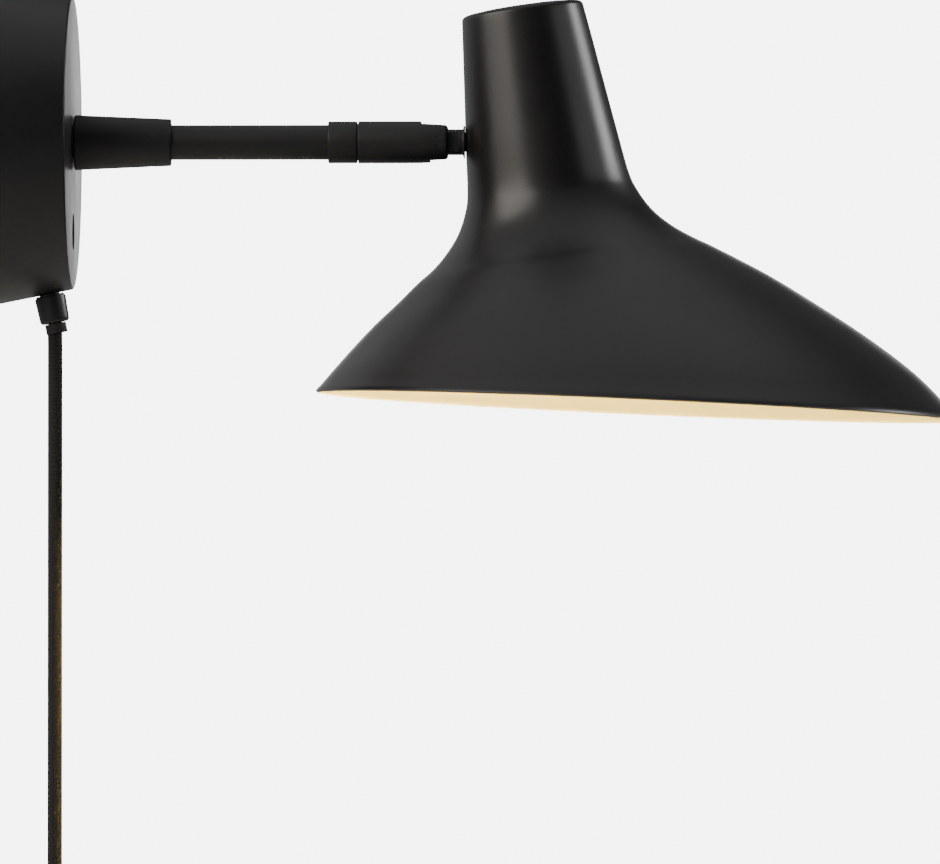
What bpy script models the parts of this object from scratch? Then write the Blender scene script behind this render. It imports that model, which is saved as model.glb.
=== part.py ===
"""Swing arm wall sconce: a wall canopy, a straight arm, a turning and tilting knuckle and a hat-shaped shade.

The origin is where the arm's axis meets the wall, on the back of the wall bracket.
+X points out of the wall along the arm, +Z is up. Lengths are in metres.
"""

import math

import bmesh
import bpy
from mathutils import Matrix, Vector

MM = 0.001
TOUCH = 0.3 * MM  # gap between pieces that rest on each other

# Wall canopy, a shallow cone that widens towards the wall
CANOPY_DEPTH = 38 * MM
CANOPY_FACE_RADIUS = 60 * MM
CANOPY_SLOPE = math.radians(11.2)
CANOPY_EDGE = MM
CANOPY_WALL = 1.6 * MM
CANOPY_SCREW_X = 5 * MM
CANOPY_INSIDE = CANOPY_DEPTH - CANOPY_WALL

# Wall bracket inside the canopy
PLATE = 2 * MM
BRACKET_HALF_WIDTH = 61 * MM
BRACKET_HALF_HEIGHT = 13 * MM
SLOT_SPACING = 70 * MM
TERMINAL_Z = 25 * MM

# Push-button switch in the canopy's face
BUTTON_Z = -36.5 * MM
BUTTON_RADIUS = 7.2 * MM
BUTTON_TRAVEL = 2 * MM

# Arm
SLEEVE_START = CANOPY_DEPTH + 0.4 * MM
SLEEVE_END = CANOPY_DEPTH + 40 * MM
SLEEVE_BASE_RADIUS = 11.3 * MM
SLEEVE_END_RADIUS = 9.6 * MM
NIPPLE_RADIUS = 5 * MM
TUBE_START = 50 * MM
TUBE_END = 149 * MM
TUBE_RADIUS = 7.1 * MM
TUBE_BORE = 5.7 * MM
CUFF_START = 142.3 * MM
CUFF_END = 154.15 * MM
CUFF_RADIUS = 8.55 * MM
GRUB_X = 70 * MM

# Swivel body, a fork that turns about the arm's axis
FORK_START = 154.65 * MM
FORK_END = 191.2 * MM
FORK_RADIUS = 8.6 * MM
FORK_TIP_RADIUS = 8.15 * MM
FORK_BORE = 4.1 * MM
SLOT_HALF_WIDTH = 4.2 * MM
SLOT_ROOT_TOP = 180.2 * MM
SLOT_ROOT_BOTTOM = 184.2 * MM

# Knuckle: the tongue that tilts in the fork, about an axis along Y
PIVOT_X = 186 * MM
TONGUE_RADIUS = 5.3 * MM
TONGUE_HALF_THICKNESS = 3.6 * MM
TONGUE_SHOULDER = PIVOT_X + 9.5 * MM
TONGUE_END = 197.1 * MM
STUB_RADIUS = 3.9 * MM
STUB_END = 208.5 * MM
STUD_RADIUS = 2 * MM
LEAD_RADIUS = 2 * MM
LEAD_BORE = 2.4 * MM

# Shade: matching points down its wall side and its room side, (X, Z) in millimetres.
# Each pair spans one circular section, and the sections lean from the neck's tilt to the rim's.
SHADE_WALL = 1.5 * MM
SHADE_SIDES = (
    ((196.9, 49.0), (246.5, 56.3)),
    ((197.9, 17.1), (254.7, 25.8)),
    ((199.1, -21.6), (264.9, -11.6)),
    ((198.0, -29.9), (268.4, -19.2)),
    ((195.2, -38.1), (274.5, -27.4)),
    ((190.7, -45.6), (282.4, -33.9)),
    ((185.2, -52.2), (291.4, -38.9)),
    ((178.7, -58.0), (300.7, -43.3)),
    ((161.8, -74.4), (343.4, -67.5)),
    ((145.0, -92.6), (383.2, -96.1)),
    ((137.2, -101.8), (400.2, -113.7)),
)
SHADE_SEGMENTS = 48
CAP_EDGE = 1.4 * MM
CAP_RISE = 2.4 * MM

# Lampholder and bulb, on the neck's axis: AXIS_TOP is where it meets the neck's top edge
AXIS_TOP = Vector((221.7 * MM, 0, 52.65 * MM))
AXIS_LEAN = math.radians(8.46)
AXIS_DOWN = Vector((math.sin(AXIS_LEAN), 0, -math.cos(AXIS_LEAN)))
STRAP_X = 201.95 * MM
STRAP_WIDTH = 12 * MM
STRAP_THICKNESS = 1.5 * MM
STRAP_AT = 18.5 * MM  # where the strap crosses the axis, from AXIS_TOP

# Cable gland, square to the canopy's sloping underside
GLAND_POINT = Vector((28.3 * MM, 0, -61.9 * MM))
GLAND_DOWN = Vector((math.sin(CANOPY_SLOPE), 0, -math.cos(CANOPY_SLOPE)))
GLAND_BORE = 3.35 * MM
GLAND_LENGTH = 12 * MM
BUSH_END = 16.3 * MM

# Mains cord and its coil
CORD_RADIUS = 3 * MM
CORD_X = 30.6 * MM
COIL_CENTRE_Z = -377 * MM
COIL_INNER = 21 * MM
COIL_OUTER = 45 * MM
COIL_DEPTH = 12 * MM
COIL_X = CORD_X - CORD_RADIUS
OUTER_TURN = COIL_OUTER - CORD_RADIUS
TIE_ANGLE = math.radians(158)
TAIL_X = CORD_X - 2 * CORD_RADIUS
PLUG_TOP = COIL_CENTRE_Z - COIL_OUTER

X_AXIS = Vector((1, 0, 0))
Y_AXIS = Vector((0, 1, 0))
Z_AXIS = Vector((0, 0, 1))

for old in list(bpy.data.objects):
    bpy.data.objects.remove(old, do_unlink=True)

lamp = bpy.data.collections.new("swing_arm_wall_sconce")
cutters = bpy.data.collections.new("cutters")
cutters.hide_render = True
bpy.context.scene.collection.children.link(lamp)
bpy.context.scene.collection.children.link(cutters)


def material(name, colour, roughness, metallic=0.0):
    made = bpy.data.materials.new(name)
    made.use_nodes = True
    shader = made.node_tree.nodes["Principled BSDF"]
    shader.inputs["Base Color"].default_value = (*colour, 1)
    shader.inputs["Roughness"].default_value = roughness
    shader.inputs["Metallic"].default_value = metallic
    return made


BLACK_PAINT = material("satin_black_paint", (0.012, 0.012, 0.013), 0.42)
MATT_PAINT = material("matt_black_paint", (0.016, 0.016, 0.016), 0.6)
SHADE_PAINT = material("shade_paint", (0.02, 0.02, 0.02), 0.4)
STEEL = material("zinc_steel", (0.55, 0.55, 0.54), 0.35, 1.0)
BRASS = material("brass", (0.75, 0.56, 0.28), 0.3, 1.0)
BLACK_PLASTIC = material("black_plastic", (0.018, 0.018, 0.018), 0.5)
WHITE_PLASTIC = material("white_plastic", (0.8, 0.79, 0.75), 0.45)
RUBBER = material("rubber", (0.02, 0.02, 0.02), 0.7)
TEXTILE = material("black_textile", (0.015, 0.014, 0.013), 0.9)
FIBRE = material("fibre_washer", (0.28, 0.12, 0.06), 0.7)
OPAL = material("opal_glass", (0.9, 0.87, 0.8), 0.2)


def axis_empty(name, place):
    """An empty on a joint's axis, which carries the pieces that move with that joint."""
    empty = bpy.data.objects.new(name, None)
    empty.location = place
    lamp.objects.link(empty)
    return empty


SWIVEL = axis_empty("swivel_axis", (CUFF_END, 0, 0))
TILT = axis_empty("tilt_axis", (PIVOT_X, 0, 0))
BUTTON = axis_empty("button_axis", (CANOPY_DEPTH, 0, BUTTON_Z))


def add(name, data, finish, parent=None):
    """Makes the named piece. A finish of None makes a cutter."""
    made = bpy.data.objects.new(name, data)
    if finish is None:
        cutters.objects.link(made)
        made.hide_render = True
        made.display_type = "WIRE"
        return made
    lamp.objects.link(made)
    data.materials.append(finish)
    if parent is not None:
        made.parent = parent
        made.matrix_parent_inverse = Matrix.Translation(-parent.location)
    return made


def along(direction):
    """The rotation that takes +Z to this direction."""
    return Z_AXIS.rotation_difference(Vector(direction)).to_matrix().to_4x4()


def from_bmesh(name, bm, finish, parent=None, smooth=True):
    data = bpy.data.meshes.new(name)
    bm.to_mesh(data)
    bm.free()
    if smooth:
        data.shade_smooth()
        data.set_sharp_from_angle(angle=math.radians(35))
    return add(name, data, finish, parent)


def turned(name, profile, finish, start=(0, 0, 0), direction=X_AXIS, parent=None, steps=32):
    """A turned piece. The profile holds (radius, height) and runs down the outer side.

    Heights are measured from start along direction. A profile that meets the axis at both
    ends is a solid of revolution, and any other is closed into a ring.
    """
    bm = bmesh.new()
    points = [bm.verts.new((radius, 0, height)) for radius, height in profile]
    edges = list(zip(points, points[1:]))
    if profile[0][0] > 0:
        edges.append((points[-1], points[0]))
    for a, b in edges:
        if a.co.x + b.co.x > 0:
            bm.edges.new((a, b))
    made = from_bmesh(name, bm, finish, parent)
    made.matrix_basis = Matrix.Translation(start) @ along(direction)
    screw = made.modifiers.new("turn", "SCREW")
    screw.axis = "Z"
    screw.steps = steps
    screw.render_steps = steps
    screw.use_merge_vertices = True
    screw.merge_threshold = 0.00001
    return made


def round_edge(radius, height, bend):
    """Points round a profile's corner, from the end face at this height to the side at this radius."""
    return [
        (radius - bend + bend * math.sin(turn), height - bend + bend * math.cos(turn))
        for turn in [math.radians(30 * step) for step in range(4)]
    ]


def cylinder(name, radius, start, end, finish, parent=None, segments=32):
    """A plain round bar between two points, or with six segments a hexagonal one."""
    start, end = Vector(start), Vector(end)
    bm = bmesh.new()
    place = Matrix.Translation((start + end) / 2) @ along(end - start)
    bmesh.ops.create_cone(
        bm,
        cap_ends=True,
        segments=segments,
        radius1=radius,
        radius2=radius,
        depth=(end - start).length,
        matrix=place,
    )
    return from_bmesh(name, bm, finish, parent, smooth=segments > 8)


def ring(name, outer, inner, low, high, finish, parent=None, steps=32, start=(0, 0, 0), direction=X_AXIS):
    """A plain ring or tube whose ends are at low and high along direction from start."""
    profile = [(inner, high), (outer, high), (outer, low), (inner, low)]
    return turned(name, profile, finish, start, direction, parent, steps)


def nut(name, half_flat, bore, start, end, finish, parent=None):
    """A hexagonal nut between two points, half_flat from its axis to each flat."""
    start, end = Vector(start), Vector(end)
    direction = (end - start).normalized()
    made = cylinder(name, half_flat / math.cos(math.radians(30)), start, end, finish, parent, segments=6)
    hole = cylinder(
        name + "_bore",
        bore,
        start - direction * 2 * MM,
        end + direction * 2 * MM,
        None,
    )
    cut(made, hole)
    return made


def box(name, low, high, finish, parent=None, bevel=0.0):
    low, high = Vector(low), Vector(high)
    bm = bmesh.new()
    bmesh.ops.create_cube(bm, size=1)
    bmesh.ops.scale(bm, vec=high - low, verts=bm.verts)
    bmesh.ops.translate(bm, vec=(low + high) / 2, verts=bm.verts)
    made = from_bmesh(name, bm, finish, parent, smooth=False)
    if bevel:
        rounding = made.modifiers.new("round", "BEVEL")
        rounding.width = bevel
        rounding.segments = 2
    return made


def boolean(made, other, operation):
    step = made.modifiers.new(operation.lower(), "BOOLEAN")
    step.operation = operation
    step.object = other
    step.solver = "EXACT"


def cut(made, *others):
    for other in others:
        boolean(made, other, "DIFFERENCE")


def join(made, *others):
    for other in others:
        boolean(made, other, "UNION")


def smooth_route(points, step):
    """Points about one step apart on a smooth curve through the route's own points."""
    points = [Vector(p) for p in points]
    ends = [2 * points[0] - points[1], *points, 2 * points[-1] - points[-2]]
    route = []
    for before, a, b, after in zip(ends, ends[1:], ends[2:], ends[3:]):
        count = max(1, round((b - a).length / step))
        for i in range(count):
            t = i / count
            curve = (
                2 * a
                + (b - before) * t
                + (2 * before - 5 * a + 4 * b - after) * t**2
                + (3 * a - before - 3 * b + after) * t**3
            )
            route.append(curve / 2)
    route.append(points[-1])
    return route


def tube(name, points, radius, finish, step, parent=None):
    """A cord or lead along a smooth curve through these points."""
    route = smooth_route(points, step)
    data = bpy.data.curves.new(name, "CURVE")
    data.dimensions = "3D"
    data.bevel_depth = radius
    data.bevel_resolution = 2
    data.use_fill_caps = True
    spline = data.splines.new("POLY")
    spline.points.add(len(route) - 1)
    for point, place in zip(spline.points, route):
        point.co = (*place, 1)
    return add(name, data, finish, parent)


def at_gland(distance):
    return GLAND_POINT + GLAND_DOWN * distance


def at_axis(distance):
    return AXIS_TOP + AXIS_DOWN * distance


def canopy_radius(x):
    return CANOPY_FACE_RADIUS + (CANOPY_DEPTH - x) * math.tan(CANOPY_SLOPE)


def make_bracket():
    """A bar with two slots for wall screws, a tab for the terminal block and two ears."""
    bar = box(
        "wall_bracket",
        (0, -BRACKET_HALF_WIDTH, -BRACKET_HALF_HEIGHT),
        (PLATE, BRACKET_HALF_WIDTH, BRACKET_HALF_HEIGHT),
        STEEL,
    )
    tab = box("tab_shape", (0, -15 * MM, 0), (PLATE, 15 * MM, 38 * MM), None)
    join(bar, tab)
    for side in (-1, 1):
        ear = box(
            f"ear_shape_{side}",
            (0, side * BRACKET_HALF_WIDTH - MM - side * MM, -8 * MM),
            (12 * MM, side * BRACKET_HALF_WIDTH + MM - side * MM, 8 * MM),
            None,
        )
        join(bar, ear)
    for side in (-1, 1):
        bm = bmesh.new()
        bmesh.ops.create_cube(bm, size=1)
        bmesh.ops.scale(bm, vec=(6 * MM, 14 * MM, 5 * MM), verts=bm.verts)
        uprights = [e for e in bm.edges if abs(e.verts[0].co.x - e.verts[1].co.x) > MM]
        bmesh.ops.bevel(
            bm,
            geom=uprights,
            offset=2.45 * MM,
            segments=5,
            profile=0.5,
            affect="EDGES",
            material=-1,
        )
        bmesh.ops.translate(bm, vec=(MM, side * SLOT_SPACING / 2, 0), verts=bm.verts)
        slot = from_bmesh(f"slot_cutter_{side}", bm, None)
        thread = cylinder(
            f"ear_hole_{side}",
            1.65 * MM,
            (CANOPY_SCREW_X, side * 55 * MM, 0),
            (CANOPY_SCREW_X, side * 65 * MM, 0),
            None,
            segments=16,
        )
        cut(bar, slot, thread)
    for y in (10.3 * MM, 21.7 * MM):
        hole = cylinder(f"clamp_hole_{y:.4f}", 1.6 * MM, (-MM, y, 0), (4 * MM, y, 0), None, segments=16)
        cut(bar, hole)


def make_canopy():
    back = 0.3 * MM
    skin = CANOPY_WALL / math.cos(CANOPY_SLOPE)
    edge_x = CANOPY_DEPTH - CANOPY_EDGE
    edge_radius = canopy_radius(edge_x) - CANOPY_EDGE / math.cos(CANOPY_SLOPE)
    turns = [(math.pi / 2 - CANOPY_SLOPE) * step / 4 for step in range(5)]
    hole = NIPPLE_RADIUS + 0.2 * MM
    profile = [
        (hole, CANOPY_DEPTH),
        *[(edge_radius + CANOPY_EDGE * math.sin(t), edge_x + CANOPY_EDGE * math.cos(t)) for t in turns],
        (canopy_radius(back), back),
        (canopy_radius(back) - skin, back),
        (canopy_radius(CANOPY_INSIDE) - skin, CANOPY_INSIDE),
        (hole, CANOPY_INSIDE),
    ]
    canopy = turned("canopy", profile, BLACK_PAINT, steps=64)
    button = cylinder(
        "button_cutter",
        BUTTON_RADIUS + TOUCH,
        (CANOPY_INSIDE - 3 * MM, 0, BUTTON_Z),
        (CANOPY_DEPTH + 3 * MM, 0, BUTTON_Z),
        None,
    )
    gland = cylinder("gland_cutter", 4.3 * MM, at_gland(-6 * MM), at_gland(6 * MM), None)
    cut(canopy, button, gland)
    for side, word in ((-1, "near"), (1, "far")):
        hole = cylinder(
            f"canopy_hole_{word}",
            2.1 * MM,
            (CANOPY_SCREW_X, side * 58 * MM, 0),
            (CANOPY_SCREW_X, side * 74 * MM, 0),
            None,
            segments=16,
        )
        cut(canopy, hole)
        head = canopy_radius(CANOPY_SCREW_X - 3.5 * MM) + TOUCH
        turned(
            f"canopy_screw_{word}",
            [
                (0, 2 * MM),
                (2.4 * MM, 2 * MM),
                (3.3 * MM, 1.2 * MM),
                (3.5 * MM, 0),
                (1.5 * MM, 0),
                (1.5 * MM, -9.5 * MM),
                (0, -9.5 * MM),
            ],
            MATT_PAINT,
            start=(CANOPY_SCREW_X, side * head, 0),
            direction=Y_AXIS * side,
            steps=16,
        )


def make_sleeve_and_nipple():
    bore = TUBE_RADIUS + 0.15 * MM
    web = 43.6 * MM
    sleeve = turned(
        "arm_sleeve",
        [
            (bore, SLEEVE_END),
            *round_edge(SLEEVE_END_RADIUS, SLEEVE_END, 2 * MM),
            (SLEEVE_BASE_RADIUS, SLEEVE_START + 0.6 * MM),
            (SLEEVE_BASE_RADIUS - 0.5 * MM, SLEEVE_START),
            (NIPPLE_RADIUS + 0.2 * MM, SLEEVE_START),
            (NIPPLE_RADIUS + 0.2 * MM, web),
            (bore, web),
        ],
        MATT_PAINT,
        steps=40,
    )
    grub_hole = cylinder(
        "grub_cutter",
        2.1 * MM,
        (GRUB_X, 0, -6 * MM),
        (GRUB_X, 0, -12 * MM),
        None,
        segments=16,
    )
    cut(sleeve, grub_hole)
    cylinder(
        "sleeve_grub_screw",
        1.95 * MM,
        (GRUB_X, 0, -TUBE_RADIUS - 0.15 * MM),
        (GRUB_X, 0, -9.4 * MM),
        STEEL,
        segments=16,
    )
    ring("threaded_nipple", NIPPLE_RADIUS, 3.7 * MM, 28.5 * MM, 49 * MM, STEEL)
    thread = NIPPLE_RADIUS + 0.12 * MM
    ring("nipple_washer", 9 * MM, thread, 35.3 * MM, CANOPY_INSIDE - TOUCH, STEEL)
    nut("nipple_nut", 7 * MM, thread, (31.2 * MM, 0, 0), (35 * MM, 0, 0), STEEL)
    nut("sleeve_nut", 6 * MM, thread, (web + TOUCH, 0, 0), (web + 4.3 * MM, 0, 0), STEEL)


def make_arm():
    ring("arm_tube", TUBE_RADIUS, TUBE_BORE, TUBE_START, TUBE_END, MATT_PAINT, steps=40)
    bore = TUBE_RADIUS + 0.15 * MM
    web = 150.2 * MM
    bolt_hole = 4.15 * MM
    turned(
        "cuff",
        [
            (bolt_hole, CUFF_END),
            *round_edge(CUFF_RADIUS, CUFF_END, 0.25 * MM),
            (CUFF_RADIUS, CUFF_START + 1.3 * MM),
            (CUFF_RADIUS - 0.35 * MM, CUFF_START + 0.4 * MM),
            (CUFF_RADIUS - MM, CUFF_START),
            (bore, CUFF_START),
            (bore, web),
            (bolt_hole, web),
        ],
        MATT_PAINT,
        steps=40,
    )


def make_swivel():
    """The fork, with the hollow bolt that holds it to the cuff and lets it turn."""
    fork = turned(
        "swivel_body",
        [
            (FORK_BORE, FORK_END),
            *round_edge(FORK_TIP_RADIUS, FORK_END, 1.8 * MM),
            (FORK_RADIUS, 180 * MM),
            (FORK_RADIUS, FORK_START + 0.25 * MM),
            (FORK_RADIUS - 0.25 * MM, FORK_START),
            (FORK_BORE, FORK_START),
        ],
        MATT_PAINT,
        parent=SWIVEL,
        steps=40,
    )
    bm = bmesh.new()
    bmesh.ops.create_cube(bm, size=1)
    reach = 12 * MM
    root_middle = (SLOT_ROOT_TOP + SLOT_ROOT_BOTTOM) / 2
    lean = (SLOT_ROOT_BOTTOM - SLOT_ROOT_TOP) / (2 * FORK_RADIUS)
    for vert in bm.verts:
        side, up, out = vert.co.y * 2, vert.co.z * 2, vert.co.x > 0
        x = FORK_END + 5 * MM if out else root_middle - lean * up * reach
        vert.co = (x, side * SLOT_HALF_WIDTH, up * reach)
    slot = from_bmesh("fork_slot_cutter", bm, None)
    pocket = cylinder(
        "fork_pocket_cutter",
        TONGUE_RADIUS + 0.4 * MM,
        (PIVOT_X, -SLOT_HALF_WIDTH, 0),
        (PIVOT_X, SLOT_HALF_WIDTH, 0),
        None,
    )
    pin_hole = cylinder(
        "fork_pin_cutter",
        STUD_RADIUS + 0.06 * MM,
        (PIVOT_X, -12 * MM, 0),
        (PIVOT_X, 12 * MM, 0),
        None,
        segments=24,
    )
    cut(fork, slot, pocket, pin_hole)
    turned(
        "swivel_bolt",
        [
            (2.5 * MM, 163 * MM),
            (4 * MM, 163 * MM),
            (4 * MM, TUBE_END),
            (5.3 * MM, TUBE_END),
            (5.3 * MM, 146.4 * MM),
            (2.5 * MM, 146.4 * MM),
        ],
        STEEL,
        parent=SWIVEL,
        steps=24,
    )
    ring("swivel_spring", 5.3 * MM, 4.15 * MM, 149.2 * MM, 150 * MM, STEEL, SWIVEL, steps=24)
    ring("swivel_washer", 7.6 * MM, 4.3 * MM, 154.2 * MM, 154.6 * MM, FIBRE, SWIVEL, steps=32)
    for side, word in ((-1, "near"), (1, "far")):
        cylinder(
            f"pivot_stud_{word}",
            STUD_RADIUS,
            (PIVOT_X, side * 2.75 * MM, 0),
            (PIVOT_X, side * 8.1 * MM, 0),
            MATT_PAINT,
            SWIVEL,
            segments=24,
        )
        ring(
            f"knuckle_washer_{word}",
            5 * MM,
            2.3 * MM,
            0.05 * MM,
            0.55 * MM,
            FIBRE,
            SWIVEL,
            steps=24,
            start=(PIVOT_X, side * TONGUE_HALF_THICKNESS, 0),
            direction=Y_AXIS * side,
        )


def make_tongue():
    """A round bar with two flats and a rounded eye, ending in a threaded stub."""
    tongue = turned(
        "knuckle_tongue",
        [
            (0, STUB_END),
            (STUB_RADIUS, STUB_END),
            (STUB_RADIUS, TONGUE_END),
            (TONGUE_RADIUS, TONGUE_END),
            (TONGUE_RADIUS, PIVOT_X),
            (0, PIVOT_X),
        ],
        MATT_PAINT,
        parent=TILT,
    )
    for side, word in ((-1, "near"), (1, "far")):
        low, high = sorted((side * TONGUE_HALF_THICKNESS, side * 9 * MM))
        flat = box(
            f"tongue_flat_{word}",
            (PIVOT_X - 9 * MM, low, -9 * MM),
            (TONGUE_SHOULDER, high, 9 * MM),
            None,
        )
        cut(tongue, flat)
    eye = cylinder(
        "tongue_eye",
        TONGUE_RADIUS,
        (PIVOT_X, -TONGUE_HALF_THICKNESS, 0),
        (PIVOT_X, TONGUE_HALF_THICKNESS, 0),
        None,
    )
    bore = cylinder(
        "tongue_bore",
        LEAD_BORE,
        (PIVOT_X - 9 * MM, 0, 0),
        (STUB_END + 2 * MM, 0, 0),
        None,
        segments=24,
    )
    pins = cylinder(
        "tongue_pin_hole",
        STUD_RADIUS + 0.15 * MM,
        (PIVOT_X, -9 * MM, 0),
        (PIVOT_X, 9 * MM, 0),
        None,
        segments=24,
    )
    join(tongue, eye)
    cut(tongue, bore, pins)


def make_neck_fixing():
    """The collar outside the neck, and the nut inside it."""
    turned(
        "neck_washer",
        [
            (4.1 * MM, 198.1 * MM),
            (6.75 * MM, 198.1 * MM),
            (6.75 * MM, 197.75 * MM),
            (5.9 * MM, 197.4 * MM),
            (4.1 * MM, 197.4 * MM),
        ],
        MATT_PAINT,
        parent=TILT,
    )
    nut("shank_nut", 6.5 * MM, STUB_RADIUS + 0.12 * MM, (203 * MM, 0, 0), (207 * MM, 0, 0), STEEL, TILT)


def shade_sections():
    """(centre, radius, lean) of each circular section, top to bottom, with the domed top first."""
    sections = []
    for left, right in SHADE_SIDES:
        a, b = Vector((left[0], 0, left[1])) * MM, Vector((right[0], 0, right[1])) * MM
        across = b - a
        sections.append(((a + b) / 2, across.length / 2, math.atan2(across.z, across.x)))
    top, radius, lean = sections[0]
    up = Vector((-math.sin(lean), 0, math.cos(lean)))
    dome = [
        (top + up * CAP_RISE * 0.95, radius * 0.3, lean),
        (top + up * CAP_RISE * 0.82, radius * 0.65, lean),
        (top + up * CAP_EDGE, radius - CAP_EDGE, lean),
        (top + up * CAP_EDGE * 0.7, radius - CAP_EDGE * 0.3, lean),
    ]
    return dome + sections


def make_shade():
    bm = bmesh.new()
    loops = []
    for centre, radius, lean in shade_sections():
        made = bmesh.ops.create_circle(
            bm,
            segments=SHADE_SEGMENTS,
            radius=radius,
            matrix=Matrix.Translation(centre) @ Matrix.Rotation(-lean, 4, "Y"),
        )
        loops.append(list({edge for vert in made["verts"] for edge in vert.link_edges}))
    bmesh.ops.contextual_create(bm, geom=loops[0])
    for above, below in zip(loops, loops[1:]):
        bmesh.ops.bridge_loops(bm, edges=above + below)
    bmesh.ops.recalc_face_normals(bm, faces=bm.faces)
    shade = from_bmesh("shade", bm, SHADE_PAINT, TILT)
    wall = shade.modifiers.new("wall", "SOLIDIFY")
    wall.thickness = SHADE_WALL
    wall.offset = -1
    wall.use_even_offset = True
    hole = cylinder("neck_hole", 4.2 * MM, (190 * MM, 0, 0), (206 * MM, 0, 0), None, segments=24)
    cut(shade, hole)


def make_strap():
    """A bent strip that runs up inside the neck and holds the lampholder on the neck's axis."""
    across = Vector((math.cos(AXIS_LEAN), 0, math.sin(AXIS_LEAN)))
    middle = at_axis(STRAP_AT)
    corner = middle - across * ((middle.x - STRAP_X) / across.x)
    line = [Vector((STRAP_X, 0, -8 * MM)), corner, middle + across * 9 * MM]
    bm = bmesh.new()
    points = [bm.verts.new(p - Y_AXIS * STRAP_WIDTH / 2) for p in line]
    edges = [bm.edges.new(pair) for pair in zip(points, points[1:])]
    side = bmesh.ops.extrude_edge_only(bm, edges=edges)
    moved = [v for v in side["geom"] if isinstance(v, bmesh.types.BMVert)]
    bmesh.ops.translate(bm, vec=Y_AXIS * STRAP_WIDTH, verts=moved)
    strap = from_bmesh("holder_strap", bm, STEEL, TILT, smooth=False)
    thick = strap.modifiers.new("thick", "SOLIDIFY")
    thick.thickness = STRAP_THICKNESS
    thick.offset = 0
    thick.use_even_offset = True
    stub = cylinder(
        "strap_stub_hole",
        STUB_RADIUS + 0.2 * MM,
        (195 * MM, 0, 0),
        (210 * MM, 0, 0),
        None,
        segments=24,
    )
    top = cylinder(
        "strap_top_hole",
        5.1 * MM,
        at_axis(STRAP_AT - 6 * MM),
        at_axis(STRAP_AT + 6 * MM),
        None,
        segments=24,
    )
    cut(strap, stub, top)


def down_axis(profile):
    """A profile measured down the lampholder's axis, turned into one measured up from AXIS_TOP."""
    return [(radius * MM, -distance * MM) for radius, distance in profile]


def make_lampholder():
    up = -AXIS_DOWN
    turned(
        "holder_nipple",
        down_axis([(3, 13), (4.9, 13), (4.9, 24), (3, 24)]),
        STEEL,
        AXIS_TOP,
        up,
        TILT,
        steps=24,
    )
    nut("holder_nut", 6.5 * MM, 5 * MM, at_axis(14 * MM), at_axis(17.4 * MM), STEEL, TILT)
    turned(
        "holder_cap",
        down_axis(
            [
                (5.05, 19.6),
                (9, 19.6),
                (12, 21.5),
                (13.6, 25),
                (13.6, 35),
                (12.2, 35),
                (12.2, 26),
                (8.6, 21.4),
                (5.05, 21.4),
            ]
        ),
        BLACK_PLASTIC,
        AXIS_TOP,
        up,
        TILT,
    )
    turned(
        "holder_skirt",
        down_axis(
            [
                (12.2, 35.3),
                (13.6, 35.3),
                (13.6, 64.5),
                (12.6, 65.5),
                (10.5, 65.5),
                (10.5, 42),
                (1.7, 42),
                (1.7, 38),
                (12.2, 38),
            ]
        ),
        BLACK_PLASTIC,
        AXIS_TOP,
        up,
        TILT,
    )
    turned(
        "screw_shell",
        down_axis([(7.35, 42.3), (7.95, 42.3), (7.95, 61), (7.35, 61)]),
        BRASS,
        AXIS_TOP,
        up,
        TILT,
        steps=24,
    )
    turned(
        "centre_contact",
        down_axis([(0, 37), (1.5, 37), (1.5, 42.3), (3, 42.3), (3, 43.2), (0, 43.2)]),
        BRASS,
        AXIS_TOP,
        up,
        TILT,
        steps=16,
    )


def globe_arc(radius):
    """The bulb's round part, from the neck to the tip, in millimetres, centred on the axis."""
    centre = 95
    return [
        (radius * math.sin(math.radians(a)), centre - radius * math.cos(math.radians(a)))
        for a in range(40, 181, 14)
    ]


def make_bulb():
    up = -AXIS_DOWN
    turned(
        "bulb_contact",
        down_axis([(0, 43.5), (1.6, 43.7), (2.2, 44.6), (0, 44.6)]),
        STEEL,
        AXIS_TOP,
        up,
        TILT,
        steps=16,
    )
    turned(
        "bulb_cap",
        down_axis([(0, 44.9), (2.6, 44.9), (6.4, 47), (6.95, 48.5), (6.95, 66.5), (0, 66.5)]),
        STEEL,
        AXIS_TOP,
        up,
        TILT,
        steps=24,
    )
    outside = globe_arc(22.5)
    inside = globe_arc(21.5)
    turned(
        "bulb_globe",
        down_axis(
            [(7.5, 66.8), (8.5, 66.8), (9.5, 70), (11.5, 74), *outside]
            + [*reversed(inside), (10.5, 74.4), (8.5, 70.3), (7.5, 67)]
        ),
        OPAL,
        AXIS_TOP,
        up,
        TILT,
    )


def make_switch():
    x = CANOPY_INSIDE - TOUCH
    housing = box(
        "switch_housing",
        (12 * MM, -8 * MM, BUTTON_Z - 8 * MM),
        (29.5 * MM, 8 * MM, BUTTON_Z + 8 * MM),
        BLACK_PLASTIC,
    )
    middle = Vector((0, 0, BUTTON_Z))
    collar = ring("switch_collar_shape", 9.5 * MM, BUTTON_RADIUS + TOUCH, 29 * MM, x, None, start=middle)
    stem_hole = cylinder(
        "switch_stem_cutter",
        2.8 * MM,
        middle + X_AXIS * 20.5 * MM,
        middle + X_AXIS * 32 * MM,
        None,
        segments=24,
    )
    join(housing, collar)
    cut(housing, stem_hole)
    face = CANOPY_DEPTH - TOUCH
    turned(
        "switch_button",
        [
            (0, face - 0.5 * MM),
            (4 * MM, face - 0.35 * MM),
            (BUTTON_RADIUS - 0.5 * MM, face),
            (BUTTON_RADIUS, face - 0.5 * MM),
            (BUTTON_RADIUS, 33.5 * MM),
            (2.4 * MM, 33.5 * MM),
            (2.4 * MM, 24 * MM),
            (0, 24 * MM),
        ],
        BLACK_PLASTIC,
        start=middle,
        parent=BUTTON,
    )


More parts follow.
